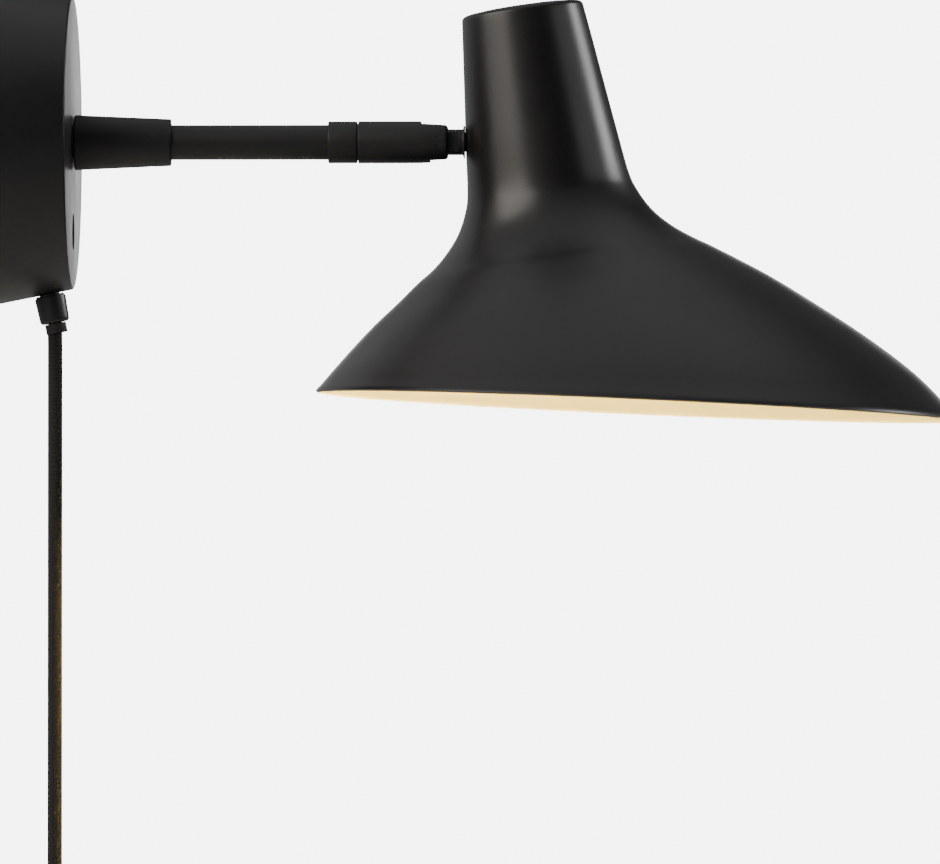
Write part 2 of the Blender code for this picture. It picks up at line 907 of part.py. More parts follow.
def make_terminals():
    half = 9 * MM
    block = box(
        "terminal_block",
        (PLATE + TOUCH, -12.5 * MM, TERMINAL_Z - half),
        (14.3 * MM, 12.5 * MM, TERMINAL_Z + half),
        WHITE_PLASTIC,
        bevel=0.6 * MM,
    )
    for i, y in enumerate((-7 * MM, 0, 7 * MM)):
        bore = cylinder(
            f"terminal_bore_{i}",
            1.9 * MM,
            (8 * MM, y, TERMINAL_Z - 12 * MM),
            (8 * MM, y, TERMINAL_Z + 12 * MM),
            None,
            segments=16,
        )
        driver = cylinder(
            f"terminal_driver_{i}",
            1.7 * MM,
            (10.5 * MM, y, TERMINAL_Z + 4 * MM),
            (18 * MM, y, TERMINAL_Z + 4 * MM),
            None,
            segments=16,
        )
        cut(block, bore, driver)
    clamp = box("cord_clamp", (PLATE + TOUCH, 8 * MM, -4 * MM), (9.5 * MM, 24 * MM, 4 * MM), BLACK_PLASTIC)
    channel = box("clamp_channel", (0, 13.2 * MM, -6 * MM), (8 * MM, 18.8 * MM, 6 * MM), None)
    cut(clamp, channel)
    for i, y in enumerate((10.3 * MM, 21.7 * MM)):
        hole = cylinder(f"clamp_screw_hole_{i}", 1.65 * MM, (0, y, 0), (12 * MM, y, 0), None, segments=16)
        cut(clamp, hole)
        turned(
            f"clamp_screw_{i + 1}",
            [
                (0, 1.9 * MM),
                (2 * MM, 1.8 * MM),
                (2.6 * MM, MM),
                (2.6 * MM, 0),
                (1.4 * MM, 0),
                (1.4 * MM, -9.3 * MM),
                (0, -9.3 * MM),
            ],
            STEEL,
            start=(9.5 * MM + TOUCH, y, 0),
            steps=16,
        )


def make_gland():
    up = -GLAND_DOWN
    end = -GLAND_LENGTH
    turned(
        "gland_body",
        [
            (GLAND_BORE, 7 * MM),
            (4.1 * MM, 7 * MM),
            (4.1 * MM, -0.5 * MM),
            (5.8 * MM, -0.5 * MM),
            (5.8 * MM, -1.2 * MM),
            (6.4 * MM, -1.2 * MM),
            (6 * MM, end + 1.5 * MM),
            (5.5 * MM, end + 0.4 * MM),
            (4.6 * MM, end),
            (GLAND_BORE, end),
        ],
        BLACK_PLASTIC,
        GLAND_POINT,
        up,
    )
    nut("gland_nut", 6 * MM, 4.2 * MM, at_gland(-5.6 * MM), at_gland(-2.4 * MM), BLACK_PLASTIC)
    turned(
        "gland_bush",
        [
            (GLAND_BORE, end - TOUCH),
            (4.35 * MM, end - TOUCH),
            (4.35 * MM, 0.8 * MM - BUSH_END),
            (3.9 * MM, -BUSH_END),
            (GLAND_BORE, -BUSH_END),
        ],
        RUBBER,
        GLAND_POINT,
        up,
        steps=24,
    )


def make_leads():
    """The leads inside the lamp: they are held all the way."""
    inner = 2.4 * MM
    tube(
        "lead_supply",
        [
            at_gland(10 * MM),
            at_gland(0),
            at_gland(-9 * MM),
            (24 * MM, 4.5 * MM, -50 * MM),
            (18.5 * MM, 12.5 * MM, -46.5 * MM),
            (11 * MM, 16 * MM, -36 * MM),
            (5.4 * MM, 16 * MM, -14 * MM),
            (5.2 * MM, 16 * MM, 3 * MM),
            (5.8 * MM, 14.6 * MM, 8 * MM),
            (7.6 * MM, 9 * MM, 10.6 * MM),
            (8 * MM, 7 * MM, 14.6 * MM),
        ],
        inner,
        TEXTILE,
        5 * MM,
    )
    tube(
        "lead_switch",
        [
            (8 * MM, -7 * MM, 15.5 * MM),
            (7.5 * MM, -10 * MM, 6 * MM),
            (7 * MM, -13 * MM, -10 * MM),
            (6 * MM, -11 * MM, -26 * MM),
            (7 * MM, -5 * MM, -36 * MM),
            (11.3 * MM, -4 * MM, -36.5 * MM),
        ],
        1.7 * MM,
        TEXTILE,
        5 * MM,
    )
    tube(
        "lead_arm",
        [
            (8 * MM, 0, 15.5 * MM),
            (9 * MM, 0, 9 * MM),
            (14 * MM, 0, 2.5 * MM),
            (24 * MM, 0, 0.2 * MM),
            (32 * MM, 0, 0),
            (100 * MM, 0, 0),
            (PIVOT_X - 6 * MM, 0, 0),
        ],
        LEAD_RADIUS,
        TEXTILE,
        8 * MM,
    )
    tube(
        "lead_head",
        [
            (PIVOT_X - 4.5 * MM, 0, 0),
            (196 * MM, 0, 0),
            (209.5 * MM, 0, 0),
            (213 * MM, 3.5 * MM, 2 * MM),
            (211.5 * MM, 8 * MM, 9 * MM),
            (208.5 * MM, 10 * MM, 20 * MM),
            (208.5 * MM, 10 * MM, 31 * MM),
            (211.5 * MM, 8 * MM, 41 * MM),
            (217 * MM, 3 * MM, 46.5 * MM),
            at_axis(7 * MM),
            at_axis(13 * MM),
            at_axis(22 * MM),
        ],
        LEAD_RADIUS,
        TEXTILE,
        4 * MM,
        TILT,
    )


def make_cord():
    """The free mains cord: a straight drop, a tied coil and a short tail to the plug."""
    slant = Vector((0, 1, 1)) / math.sqrt(2)
    outward = Vector((0, -1, 1)) / math.sqrt(2)
    coil = Vector((CORD_X, 0, COIL_CENTRE_Z))
    touching = coil + outward * OUTER_TURN + slant * 23.6 * MM
    tube(
        "cord_drop",
        [
            (CORD_X + 0.2 * MM, 0, -79.1 * MM),
            (CORD_X, 0, -86 * MM),
            (CORD_X, 0, -100 * MM),
            (CORD_X, 0, -180 * MM),
            (CORD_X, 0, -260 * MM),
            (CORD_X, 0, -298 * MM),
            (CORD_X, -2.2 * MM, -312.5 * MM),
            touching,
        ],
        CORD_RADIUS,
        TEXTILE,
        12 * MM,
    )
    ring(
        "cord_coil",
        COIL_OUTER,
        COIL_INNER,
        COIL_X - COIL_DEPTH / 2,
        COIL_X + COIL_DEPTH / 2,
        TEXTILE,
        start=(0, 0, COIL_CENTRE_Z),
        steps=40,
    )
    make_tie()
    tube(
        "cord_tail",
        [
            (TAIL_X, -OUTER_TURN, COIL_CENTRE_Z - 24.2 * MM),
            (TAIL_X, -OUTER_TURN, COIL_CENTRE_Z - 34 * MM),
            (TAIL_X, -OUTER_TURN, PLUG_TOP + TOUCH),
        ],
        CORD_RADIUS,
        TEXTILE,
        8 * MM,
    )


def make_tie():
    """A strap round the coil's turns, where the cord joins them."""
    place = Matrix.Translation((COIL_X, 0, COIL_CENTRE_Z)) @ Matrix.Rotation(TIE_ANGLE, 4, "X")
    inner = (COIL_DEPTH / 2 + TOUCH, 19.7 * MM, COIL_OUTER + TOUCH)
    skin = 1.2 * MM
    tie = box(
        "coil_tie",
        (-inner[0] - skin, inner[1] - skin, -6 * MM),
        (inner[0] + skin, inner[2] + skin, 6 * MM),
        RUBBER,
    )
    hole = box("tie_cutter", (-inner[0], inner[1], -9 * MM), (inner[0], inner[2], 9 * MM), None)
    tie.matrix_basis = place
    hole.matrix_basis = place
    cut(tie, hole)


def make_plug():
    """A flat two-pin mains plug with a ribbed bend relief."""
    relief_length = 20 * MM
    body_size = Vector((13.7 * MM, 35 * MM, 36 * MM))
    pin_spacing = 18.6 * MM
    top = Vector((TAIL_X, -OUTER_TURN, PLUG_TOP))
    turned(
        "plug_relief",
        [
            (0, 0),
            (3.7 * MM, 0),
            (4.1 * MM, -6 * MM),
            (4.6 * MM, -12 * MM),
            (5.2 * MM, -relief_length),
            (0, -relief_length),
        ],
        RUBBER,
        top,
        Z_AXIS,
        steps=20,
    )
    body_top = top - Z_AXIS * (relief_length + TOUCH)
    bm = bmesh.new()
    bmesh.ops.create_cube(bm, size=1)
    bmesh.ops.scale(bm, vec=body_size, verts=bm.verts)
    for vert in bm.verts:
        if vert.co.z > 0:
            vert.co.y *= 0.5
            vert.co.x *= 0.92
    bmesh.ops.translate(bm, vec=body_top - Z_AXIS * body_size.z / 2, verts=bm.verts)
    body = from_bmesh("plug_body", bm, BLACK_PLASTIC, smooth=False)
    rounding = body.modifiers.new("round", "BEVEL")
    rounding.width = 3 * MM
    rounding.segments = 3
    pin_top = body_top - Z_AXIS * (body_size.z + TOUCH)
    for side, word in ((-1, "left"), (1, "right")):
        turned(
            f"plug_pin_{word}",
            [
                (0, 0),
                (2 * MM, 0),
                (2 * MM, -18 * MM),
                (1.2 * MM, -19 * MM),
                (0, -19 * MM),
            ],
            BRASS,
            pin_top + Y_AXIS * side * pin_spacing / 2,
            Z_AXIS,
            steps=16,
        )


make_bracket()
make_canopy()
make_sleeve_and_nipple()
make_arm()
make_swivel()
make_tongue()
make_neck_fixing()
make_shade()
make_strap()
make_lampholder()
make_bulb()
make_switch()
make_terminals()
make_gland()
make_leads()
make_cord()
make_plug()
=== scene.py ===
import math

import bmesh
import bpy
from mathutils import Matrix, Vector


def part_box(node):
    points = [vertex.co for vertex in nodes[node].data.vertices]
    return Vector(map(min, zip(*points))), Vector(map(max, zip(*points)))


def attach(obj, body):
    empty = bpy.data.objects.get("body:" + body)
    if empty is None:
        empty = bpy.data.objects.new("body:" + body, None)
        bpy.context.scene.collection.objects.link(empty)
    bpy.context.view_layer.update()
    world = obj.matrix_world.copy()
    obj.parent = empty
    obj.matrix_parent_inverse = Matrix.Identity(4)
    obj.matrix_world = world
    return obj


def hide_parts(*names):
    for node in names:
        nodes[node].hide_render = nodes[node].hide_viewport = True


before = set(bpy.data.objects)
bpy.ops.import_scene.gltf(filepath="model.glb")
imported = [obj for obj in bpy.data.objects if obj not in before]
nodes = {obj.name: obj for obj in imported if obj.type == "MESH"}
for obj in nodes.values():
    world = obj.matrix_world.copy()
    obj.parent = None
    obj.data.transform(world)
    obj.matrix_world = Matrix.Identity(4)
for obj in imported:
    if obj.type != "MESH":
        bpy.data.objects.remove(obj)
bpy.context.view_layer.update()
mm = 0.001
xAxis = Vector((1, 0, 0))
yAxis = Vector((0, 1, 0))
zAxis = Vector((0, 0, 1))
print("frame loaded:", len(nodes), "nodes")


# seen square on to the arm, from a little towards the room and a little below
cameraView = {
    "aim": (0.2002, 0, -0.1184),
    "distance": 5.0,
    "turned": 1.65,  # degrees round towards the room side
    "raised": -1.3,
    "widthAtAim": 0.3837,
    "sensor": 36,
}


def outwards(turned, raised):
    # degrees round from the front towards the room, and degrees up
    turned, raised = math.radians(turned), math.radians(raised)
    level = math.cos(raised)
    return Vector((math.sin(turned) * level, -math.cos(turned) * level, math.sin(raised)))


def makeCamera():
    outward = outwards(cameraView["turned"], cameraView["raised"])
    lens = bpy.data.cameras.new("camera")
    lens.sensor_width = cameraView["sensor"]
    lens.lens = cameraView["sensor"] * cameraView["distance"] / cameraView["widthAtAim"]
    lens.clip_end = 100
    camera = bpy.data.objects.new("camera", lens)
    camera.location = Vector(cameraView["aim"]) + outward * cameraView["distance"]
    camera.rotation_euler = outward.to_track_quat("Z", "Y").to_euler()
    bpy.context.scene.collection.objects.link(camera)
    bpy.context.scene.camera = camera


makeCamera()
print("camera placed")


def newMaterial(name, colour, roughness, metallic=0.0):
    made = bpy.data.materials.new(name)
    made.use_nodes = True
    shader = made.node_tree.nodes["Principled BSDF"]
    shader.inputs["Base Color"].default_value = (*colour, 1)
    shader.inputs["Roughness"].default_value = roughness
    shader.inputs["Metallic"].default_value = metallic
    return made, shader


def addNode(material, kind, **settings):
    node = material.node_tree.nodes.new(kind)
    for name, value in settings.items():
        if name in node.inputs:
            node.inputs[name].default_value = value
        else:
            setattr(node, name, value)
    return node


def join(material, source, target):
    material.node_tree.links.new(source, target)


def objectNoise(material, scale, detail=3.0, stretch=(1, 1, 1)):
    place = addNode(material, "ShaderNodeTexCoord")
    mapping = addNode(material, "ShaderNodeMapping", Scale=stretch)
    noise = addNode(material, "ShaderNodeTexNoise", Scale=scale, Detail=detail)
    join(material, place.outputs["Object"], mapping.inputs["Vector"])
    join(material, mapping.outputs["Vector"], noise.inputs["Vector"])
    return noise.outputs["Fac"]


def spread(material, value, low, high):
    remap = addNode(material, "ShaderNodeMapRange")
    remap.inputs["From Min"].default_value = 0.3
    remap.inputs["From Max"].default_value = 0.7
    remap.inputs["To Min"].default_value = low
    remap.inputs["To Max"].default_value = high
    join(material, value, remap.inputs["Value"])
    return remap.outputs["Result"]


def tint(material, value, dark, light):
    ramp = addNode(material, "ShaderNodeValToRGB")
    ramp.color_ramp.elements[0].position = 0.3
    ramp.color_ramp.elements[1].position = 0.7
    ramp.color_ramp.elements[0].color = (*dark, 1)
    ramp.color_ramp.elements[1].color = (*light, 1)
    join(material, value, ramp.inputs["Fac"])
    return ramp.outputs["Color"]


def toned(material, shader, value, dark, light):
    join(material, tint(material, value, dark, light), shader.inputs["Base Color"])


def sheened(material, shader, value, low, high):
    join(material, spread(material, value, low, high), shader.inputs["Roughness"])


def roughen(material, shader, height, distance):
    bump = addNode(material, "ShaderNodeBump", Strength=1.0, Distance=distance)
    join(material, height, bump.inputs["Height"])
    join(material, bump.outputs["Normal"], shader.inputs["Normal"])


paintLook = {
    "shade": {"colour": (0.0065, 0.006, 0.0058), "rough": (0.30, 0.36), "peel": 0.000012},
    "canopy": {"colour": (0.006, 0.006, 0.0062), "rough": (0.36, 0.43), "peel": 0.000016},
    "arm": {"colour": (0.007, 0.0072, 0.0074), "rough": (0.46, 0.54), "peel": 0.000014},
}


def blackPaint(name, look):
    # powder coat: a fine orange peel, with sheen that drifts a little over the surface
    low, high = look["rough"]
    material, shader = newMaterial(name, look["colour"], low)
    sheened(material, shader, objectNoise(material, 38), low, high)
    dark = [c * 0.85 for c in look["colour"]]
    light = [c * 1.15 for c in look["colour"]]
    toned(material, shader, objectNoise(material, 150, 5), dark, light)
    roughen(material, shader, objectNoise(material, 1400, 2), look["peel"])
    return material


def creamPaint(name):
    material, shader = newMaterial(name, (0.8, 0.74, 0.6), 0.5)
    toned(material, shader, objectNoise(material, 60, 4), (0.84, 0.75, 0.36), (0.87, 0.79, 0.41))
    roughen(material, shader, objectNoise(material, 1200, 2), 0.00001)
    return material


def plastic(name, dark, light, low, high, grain=900):
    # moulded plastic with a fine spark-eroded grain
    material, shader = newMaterial(name, light, low)
    toned(material, shader, objectNoise(material, 260, 4), dark, light)
    sheened(material, shader, objectNoise(material, 70), low, high)
    roughen(material, shader, objectNoise(material, grain * 2.5, 3), 0.00003)
    return material


def metal(name, dark, light, low, high, stretch=(1, 1, 1)):
    # plated or turned metal: patches of tone, and brush lines where it is stretched
    material, shader = newMaterial(name, light, low, 1.0)
    toned(material, shader, objectNoise(material, 120, 5, stretch), dark, light)
    sheened(material, shader, objectNoise(material, 420, 6, stretch), low, high)
    roughen(material, shader, objectNoise(material, 1500, 2, stretch), 0.000008)
    return material


def math2(material, operation, a, b=None):
    node = addNode(material, "ShaderNodeMath", operation=operation)
    for socket, value in zip(node.inputs, (a, b)):
        if isinstance(value, (int, float)):
            socket.default_value = value
        elif value is not None:
            join(material, value, socket)
    return node.outputs["Value"]


braidLook = {
    "around": 16,  # strands each way round the cord
    "pitch": 560,  # crossings per metre along it
    "depth": 0.00016,
}


def braidedTextile(name):
    # two sets of black yarns cross over and under each other, with painted shade darkening the gaps between
    # yarns; UV is (round, metres along)
    material, shader = newMaterial(name, (0.02, 0.018, 0.016), 0.85)
    place = addNode(material, "ShaderNodeUVMap", uv_map="UVMap")
    split = addNode(material, "ShaderNodeSeparateXYZ")
    join(material, place.outputs["UV"], split.inputs["Vector"])
    around = math2(material, "MULTIPLY", split.outputs["X"], braidLook["around"])
    along = math2(material, "MULTIPLY", split.outputs["Y"], braidLook["pitch"])
    left = math2(material, "ADD", around, along)
    right = math2(material, "SUBTRACT", around, along)
    hills = []
    for lean in (left, right):
        wave = math2(material, "SINE", math2(material, "MULTIPLY", lean, math.pi))
        hills.append(math2(material, "ABSOLUTE", wave))
    over = math2(material, "ADD", math2(material, "FLOOR", left), math2(material, "FLOOR", right))
    over = math2(material, "SINE", math2(material, "MULTIPLY", over, math.pi / 2))
    over = math2(material, "ABSOLUTE", over)
    top = math2(material, "MULTIPLY", hills[0], over)
    bottom = math2(material, "MULTIPLY", hills[1], math2(material, "SUBTRACT", 1, over))
    weaveAndGapShade = math2(material, "ADD", top, bottom)
    # painted shade: the low places between the yarns get a darker colour than the yarn crests, and the same
    # value also drives the bump
    ramp = addNode(material, "ShaderNodeValToRGB")
    ramp.color_ramp.elements[0].color = (0.003, 0.0027, 0.0024, 1)
    ramp.color_ramp.elements[1].color = (0.015, 0.0136, 0.012, 1)
    ramp.color_ramp.elements[1].position = 0.95
    join(material, weaveAndGapShade, ramp.inputs["Fac"])
    join(material, ramp.outputs["Color"], shader.inputs["Base Color"])
    fuzz = math2(material, "MULTIPLY", objectNoise(material, 2500, 2), 0.35)
    roughen(material, shader, math2(material, "ADD", weaveAndGapShade, fuzz), braidLook["depth"])
    shader.inputs["Sheen Weight"].default_value = 0.04
    shader.inputs["Sheen Roughness"].default_value = 0.4
    return material


def leadSheath(name):
    material, shader = newMaterial(name, (0.02, 0.02, 0.02), 0.6)
    toned(material, shader, objectNoise(material, 300, 4), (0.012, 0.012, 0.012), (0.03, 0.03, 0.03))
    roughen(material, shader, objectNoise(material, 1800, 3), 0.00004)
    return material


def opalGlass(name):
    # lit opal glass, with faint patches of warmer and cooler white
    material, shader = newMaterial(name, (0.92, 0.88, 0.8), 0.25)
    patches = objectNoise(material, 40, 2)
    glow = tint(material, patches, (1.0, 0.68, 0.22), (1.0, 0.72, 0.26))
    join(material, glow, shader.inputs["Emission Color"])
    shader.inputs["Emission Strength"].default_value = 350
    return material


shadeBlack = blackPaint("shadeBlack", paintLook["shade"])
canopyBlack = blackPaint("canopyBlack", paintLook["canopy"])
armBlack = blackPaint("armBlack", paintLook["arm"])
shadeCream = creamPaint("shadeCream")
zincSteel = metal("zincSteel", (0.42, 0.42, 0.4), (0.6, 0.6, 0.58), 0.28, 0.42)
brushedSteel = metal("brushedSteel", (0.4, 0.4, 0.39), (0.62, 0.61, 0.6), 0.25, 0.4, (1, 0.06, 1))
turnedBrass = metal("turnedBrass", (0.55, 0.38, 0.16), (0.8, 0.6, 0.3), 0.2, 0.34)
nickelPlate = metal("nickelPlate", (0.55, 0.53, 0.5), (0.72, 0.7, 0.66), 0.14, 0.24)
blackPlastic = plastic("blackPlastic", (0.008, 0.008, 0.008), (0.014, 0.014, 0.014), 0.4, 0.52)
glandPlastic = plastic("glandPlastic", (0.009, 0.009, 0.009), (0.014, 0.014, 0.015), 0.34, 0.44)
whitePlastic = plastic("whitePlastic", (0.68, 0.66, 0.6), (0.8, 0.78, 0.72), 0.35, 0.5)
softRubber = plastic("softRubber", (0.01, 0.01, 0.01), (0.018, 0.018, 0.018), 0.6, 0.75, 600)
nylon = plastic("nylon", (0.035, 0.035, 0.034), (0.06, 0.06, 0.058), 0.4, 0.55, 700)
cordTextile = braidedTextile("cordTextile")
leadSleeve = leadSheath("leadSleeve")
opal = opalGlass("opal")
print("materials made")


def softCorners(corners, closed=False, steps=5):
    # corners are (radius, height, rounding); each rounded corner becomes a short curve
    points = [Vector(corner[:2]) for corner in corners]
    outline = []
    for i, corner in enumerate(corners):
        here = points[i]
        rounding = corner[2] if len(corner) > 2 else 0
        if not rounding or (not closed and i in (0, len(corners) - 1)):
            outline.append(here)
            continue
        before, after = points[i - 1] - here, points[(i + 1) % len(points)] - here
        a = here + before.normalized() * min(rounding, before.length * 0.48)
        b = here + after.normalized() * min(rounding, after.length * 0.48)
        for k in range(steps + 1):
            t = k / steps
            outline.append(a * (1 - t) ** 2 + here * 2 * t * (1 - t) + b * t**2)
    return outline


def along(direction):
    return zAxis.rotation_difference(Vector(direction)).to_matrix().to_4x4()


def toMesh(name, bm, *materials, sharp=32):
    data = bpy.data.meshes.new(name)
    bmesh.ops.recalc_face_normals(bm, faces=bm.faces)
    bm.to_mesh(data)
    bm.free()
    data.shade_smooth()
    data.set_sharp_from_angle(angle=math.radians(sharp))
    piece = bpy.data.objects.new(name, data)
    for material in materials:
        data.materials.append(material)
    bpy.context.scene.collection.objects.link(piece)
    return piece


def lathe(name, outline, start, direction, material, closed=False, steps=96):
    # outline is (radius, height) from the start point along the direction
    bm = bmesh.new()
    points = [bm.verts.new((p[0], 0, p[1])) for p in outline]
    pairs = list(zip(points, points[1:]))
    if closed:
        pairs.append((points[-1], points[0]))
    edges = [bm.edges.new(pair) for pair in pairs]
    bmesh.ops.spin(
        bm,
        geom=points + edges,
        cent=(0, 0, 0),
        axis=(0, 0, 1),
        angle=2 * math.pi,
        steps=steps,
        use_merge=True,
        use_duplicate=False,
    )
    bmesh.ops.remove_doubles(bm, verts=bm.verts, dist=0.000002)
    bmesh.ops.transform(bm, matrix=Matrix.Translation(start) @ along(direction), verts=bm.verts)
    return toMesh(name, bm, material)


def bakeShape(piece, *helpers):
    # turns live modifiers into plain mesh and drops the helper shapes they used
    graph = bpy.context.evaluated_depsgraph_get()
    finished = bpy.data.meshes.new_from_object(piece.evaluated_get(graph))
    piece.modifiers.clear()
    old = piece.data
    piece.data = finished
    finished.name = piece.name
    bpy.data.meshes.remove(old)
    for helper in helpers:
        bpy.data.objects.remove(helper, do_unlink=True)
    finished.shade_smooth()
    finished.set_sharp_from_angle(angle=math.radians(32))
    return piece


def carve(piece, *cutters, operation="DIFFERENCE"):
    for cutter in cutters:
        step = piece.modifiers.new("carve", "BOOLEAN")
        step.operation = operation
        step.object = cutter
        step.solver = "EXACT"
    return bakeShape(piece, *cutters)


def rod(radius, start, end, segments=48):
    start, end = Vector(start), Vector(end)
    bm = bmesh.new()
    bmesh.ops.create_cone(
        bm,
        cap_ends=True,
        segments=segments,
        radius1=radius,
        radius2=radius,
        depth=(end - start).length,
        matrix=Matrix.Translation((start + end) / 2) @ along(end - start),
    )
    return toMesh("helper", bm)


def block(low, high):
    low, high = Vector(low), Vector(high)
    bm = bmesh.new()
    bmesh.ops.create_cube(bm, size=1)
    bmesh.ops.scale(bm, vec=high - low, verts=bm.verts)
    bmesh.ops.translate(bm, vec=(low + high) / 2, verts=bm.verts)
    return toMesh("helper", bm)


def carry(piece, body, slot, *replaced):
    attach(piece, body)
    if replaced:
        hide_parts(*replaced)
    return piece


def lowHigh(node):
    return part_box(node)


def radiusOf(node):
    low, high = lowHigh(node)
    return (high.y - low.y) / 2


def softened(node, body, slot, material, bevel):
    # a finer copy of a plain inner piece: edges merged, broken by a small bevel, and shaded smooth
    bm = bmesh.new()
    bm.from_mesh(nodes[node].data)
    bmesh.ops.remove_doubles(bm, verts=bm.verts, dist=0.00001)
    bmesh.ops.dissolve_limit(bm, angle_limit=math.radians(1), verts=bm.verts, edges=bm.edges)
    piece = toMesh(node + "Fine", bm, material)
    edge = piece.modifiers.new("edge", "BEVEL")
    edge.width = bevel
    edge.segments = 2
    edge.limit_method = "ANGLE"
    edge.angle_limit = math.radians(40)
    bakeShape(piece)
    return carry(piece, body, slot, node)


# the drop is given as listed points, and the coil is turns in a front and a back layer
cordRoute = {
    "radius": 0.003,
    "exit": (0.0314, 0, -0.0777),
    "drop": [
        (0.0305, 0, -0.0765),
        (0.0306, 0, -0.082),
        (0.0306, 0, -0.09),
        (0.0306, 0, -0.12),
        (0.0306, 0, -0.18),
        (0.0306, 0, -0.26),
        (0.0306, 0, -0.3),
    ],
    "coilCentre": (0, -0.377),
    "frontX": 0.0306,
    "backX": 0.0246,
    "turns": (0.042, 0.036, 0.03, 0.024),
    "bend": 0.042,
    "easing": 120,  # degrees over which a turn moves to the next one
    "joins": 135,  # degrees round the coil, from +Y towards +Z, where the drop joins it
    "leaves": 45,  # degrees of plain turn before the tail drops away
    "tailEnd": (0.0246, -0.042, -0.422),
}


def curveAt(before, a, b, after, t):
    # a point between a and b on the smooth curve through all four
    bend = (2 * before - 5 * a + 4 * b - after) * t**2
    twist = (3 * a - before - 3 * b + after) * t**3
    return (2 * a + (b - before) * t + bend + twist) / 2


def withEnds(points):
    return [2 * points[0] - points[1], *points, 2 * points[-1] - points[-2]]


def smoothRoute(points, step):
    points = [Vector(p) for p in points]
    ends = withEnds(points)
    route = []
    for before, a, b, after in zip(ends, ends[1:], ends[2:], ends[3:]):
        count = max(1, round((b - a).length / step))
        route += [curveAt(before, a, b, after, i / count) for i in range(count)]
    route.append(points[-1])
    return route


def easeStep(t):
    t = min(max(t, 0), 1)
    return t * t * (3 - 2 * t)


def coilPlan():
    # (degrees, radius, x) where the coil's radius or layer starts and stops changing
    outer, second, third, inner = cordRoute["turns"]
    easing = cordRoute["easing"]
    steady = 360 - easing
    front, back = cordRoute["frontX"], cordRoute["backX"]
    angle = cordRoute["joins"]
    plan = [(angle, outer, front)]
    for radius, following in ((outer, second), (second, third), (third, inner)):
        plan += [(angle + steady, radius, front), (angle + 360, following, front)]
        angle += 360
    plan += [(angle + steady, inner, front), (angle + 360, inner, back)]
    angle += steady + 360
    for radius, following in ((inner, third), (third, second), (second, outer)):
        plan += [(angle, radius, back), (angle + easing, following, back)]
        angle += 360
    plan.append((angle - 360 + easing + cordRoute["leaves"], outer, back))
    return plan


def coilPoint(degrees, radius, x):
    centreY, centreZ = cordRoute["coilCentre"]
    angle = math.radians(degrees)
    return Vector((x, centreY + radius * math.cos(angle), centreZ + radius * math.sin(angle)))


def coilRoute(step=9):
    plan = coilPlan()
    route = []
    for (a0, r0, x0), (a1, r1, x1) in zip(plan, plan[1:]):
        count = max(2, round((a1 - a0) / step))
        for i in range(count):
            t = easeStep(i / count) if (r0, x0) != (r1, x1) else i / count
            angle = a0 + (a1 - a0) * i / count
            route.append(coilPoint(angle, r0 + (r1 - r0) * t, x0 + (x1 - x0) * t))
    route.append(coilPoint(*plan[-1]))
    return route


def wholeCord():
    drop = smoothRoute(cordRoute["drop"], 0.008)
    bend = cordRoute["bend"]
    turn = drop[-1]
    for i in range(1, 7):
        angle = math.radians(45 * i / 6)
        drop.append(turn + Vector((0, -bend + bend * math.cos(angle), -bend * math.sin(angle))))
    coil = coilRoute()
    last, first = drop[-1], coil[0]
    joining = [last.lerp(first, t) for t in (0.25, 0.5, 0.75)]
    end = Vector(cordRoute["tailEnd"])
    tail = [coil[-1].lerp(end, t) for t in (0.2, 0.4, 0.6, 0.8, 1)]
    return drop + joining + coil + tail


def evenly(route, step):
    # the same line with points the same distance apart
    lengths = [(b - a).length for a, b in zip(route, route[1:])]
    total = sum(lengths)
    count = round(total / step)
    points, i, walked = [], 0, 0.0
    for k in range(count + 1):
        wanted = min(total * k / count, total - 1e-9)
        while walked + lengths[i] < wanted:
            walked += lengths[i]
            i += 1
        points.append(route[i].lerp(route[i + 1], (wanted - walked) / lengths[i]))
    return points, total


def tubeMesh(name, route, radius, material, sides=20):
    # a tube along the route, with UV (round, metres along)
    bm = bmesh.new()
    uv = bm.loops.layers.uv.new("UVMap")
    rings, travelled, side = [], 0.0, None
    for i, place in enumerate(route):
        forward = (route[min(i + 1, len(route) - 1)] - route[max(i - 1, 0)]).normalized()
        if side is None:
            side = forward.orthogonal().normalized()
        side = (side - forward * side.dot(forward)).normalized()
        if i:
            travelled += (place - route[i - 1]).length
        turn = Matrix((side, forward.cross(side), forward)).transposed().to_4x4()
        made = bmesh.ops.create_circle(
            bm, segments=sides, radius=radius, matrix=Matrix.Translation(place) @ turn
        )
        rings.append((made["verts"], travelled))
    for (lower, low), (upper, high) in zip(rings, rings[1:]):
        for k in range(sides):
            n = (k + 1) % sides
            face = bm.faces.new((lower[k], lower[n], upper[n], upper[k]))
            for loop, place in zip(face.loops, ((k, low), (k + 1, low), (k + 1, high), (k, high))):
                loop[uv].uv = (place[0] / sides, place[1])
    for verts, _ in (rings[0], rings[-1]):
        bm.faces.new(verts)
    return toMesh(name, bm, material)


cordPoints, cordLength = evenly(wholeCord(), 0.0035)
cordPiece = tubeMesh("mainsCord", cordPoints, cordRoute["radius"], cordTextile)
print("cord length", round(cordLength, 3))

tieLook = {
    "width": 0.012,
    "skin": 0.0013,
    "angle": 158,
    "inside": (0.0061, 0.0128),  # half its depth and half its height
    "corner": 0.0042,
    "reach": 0.0325,
}


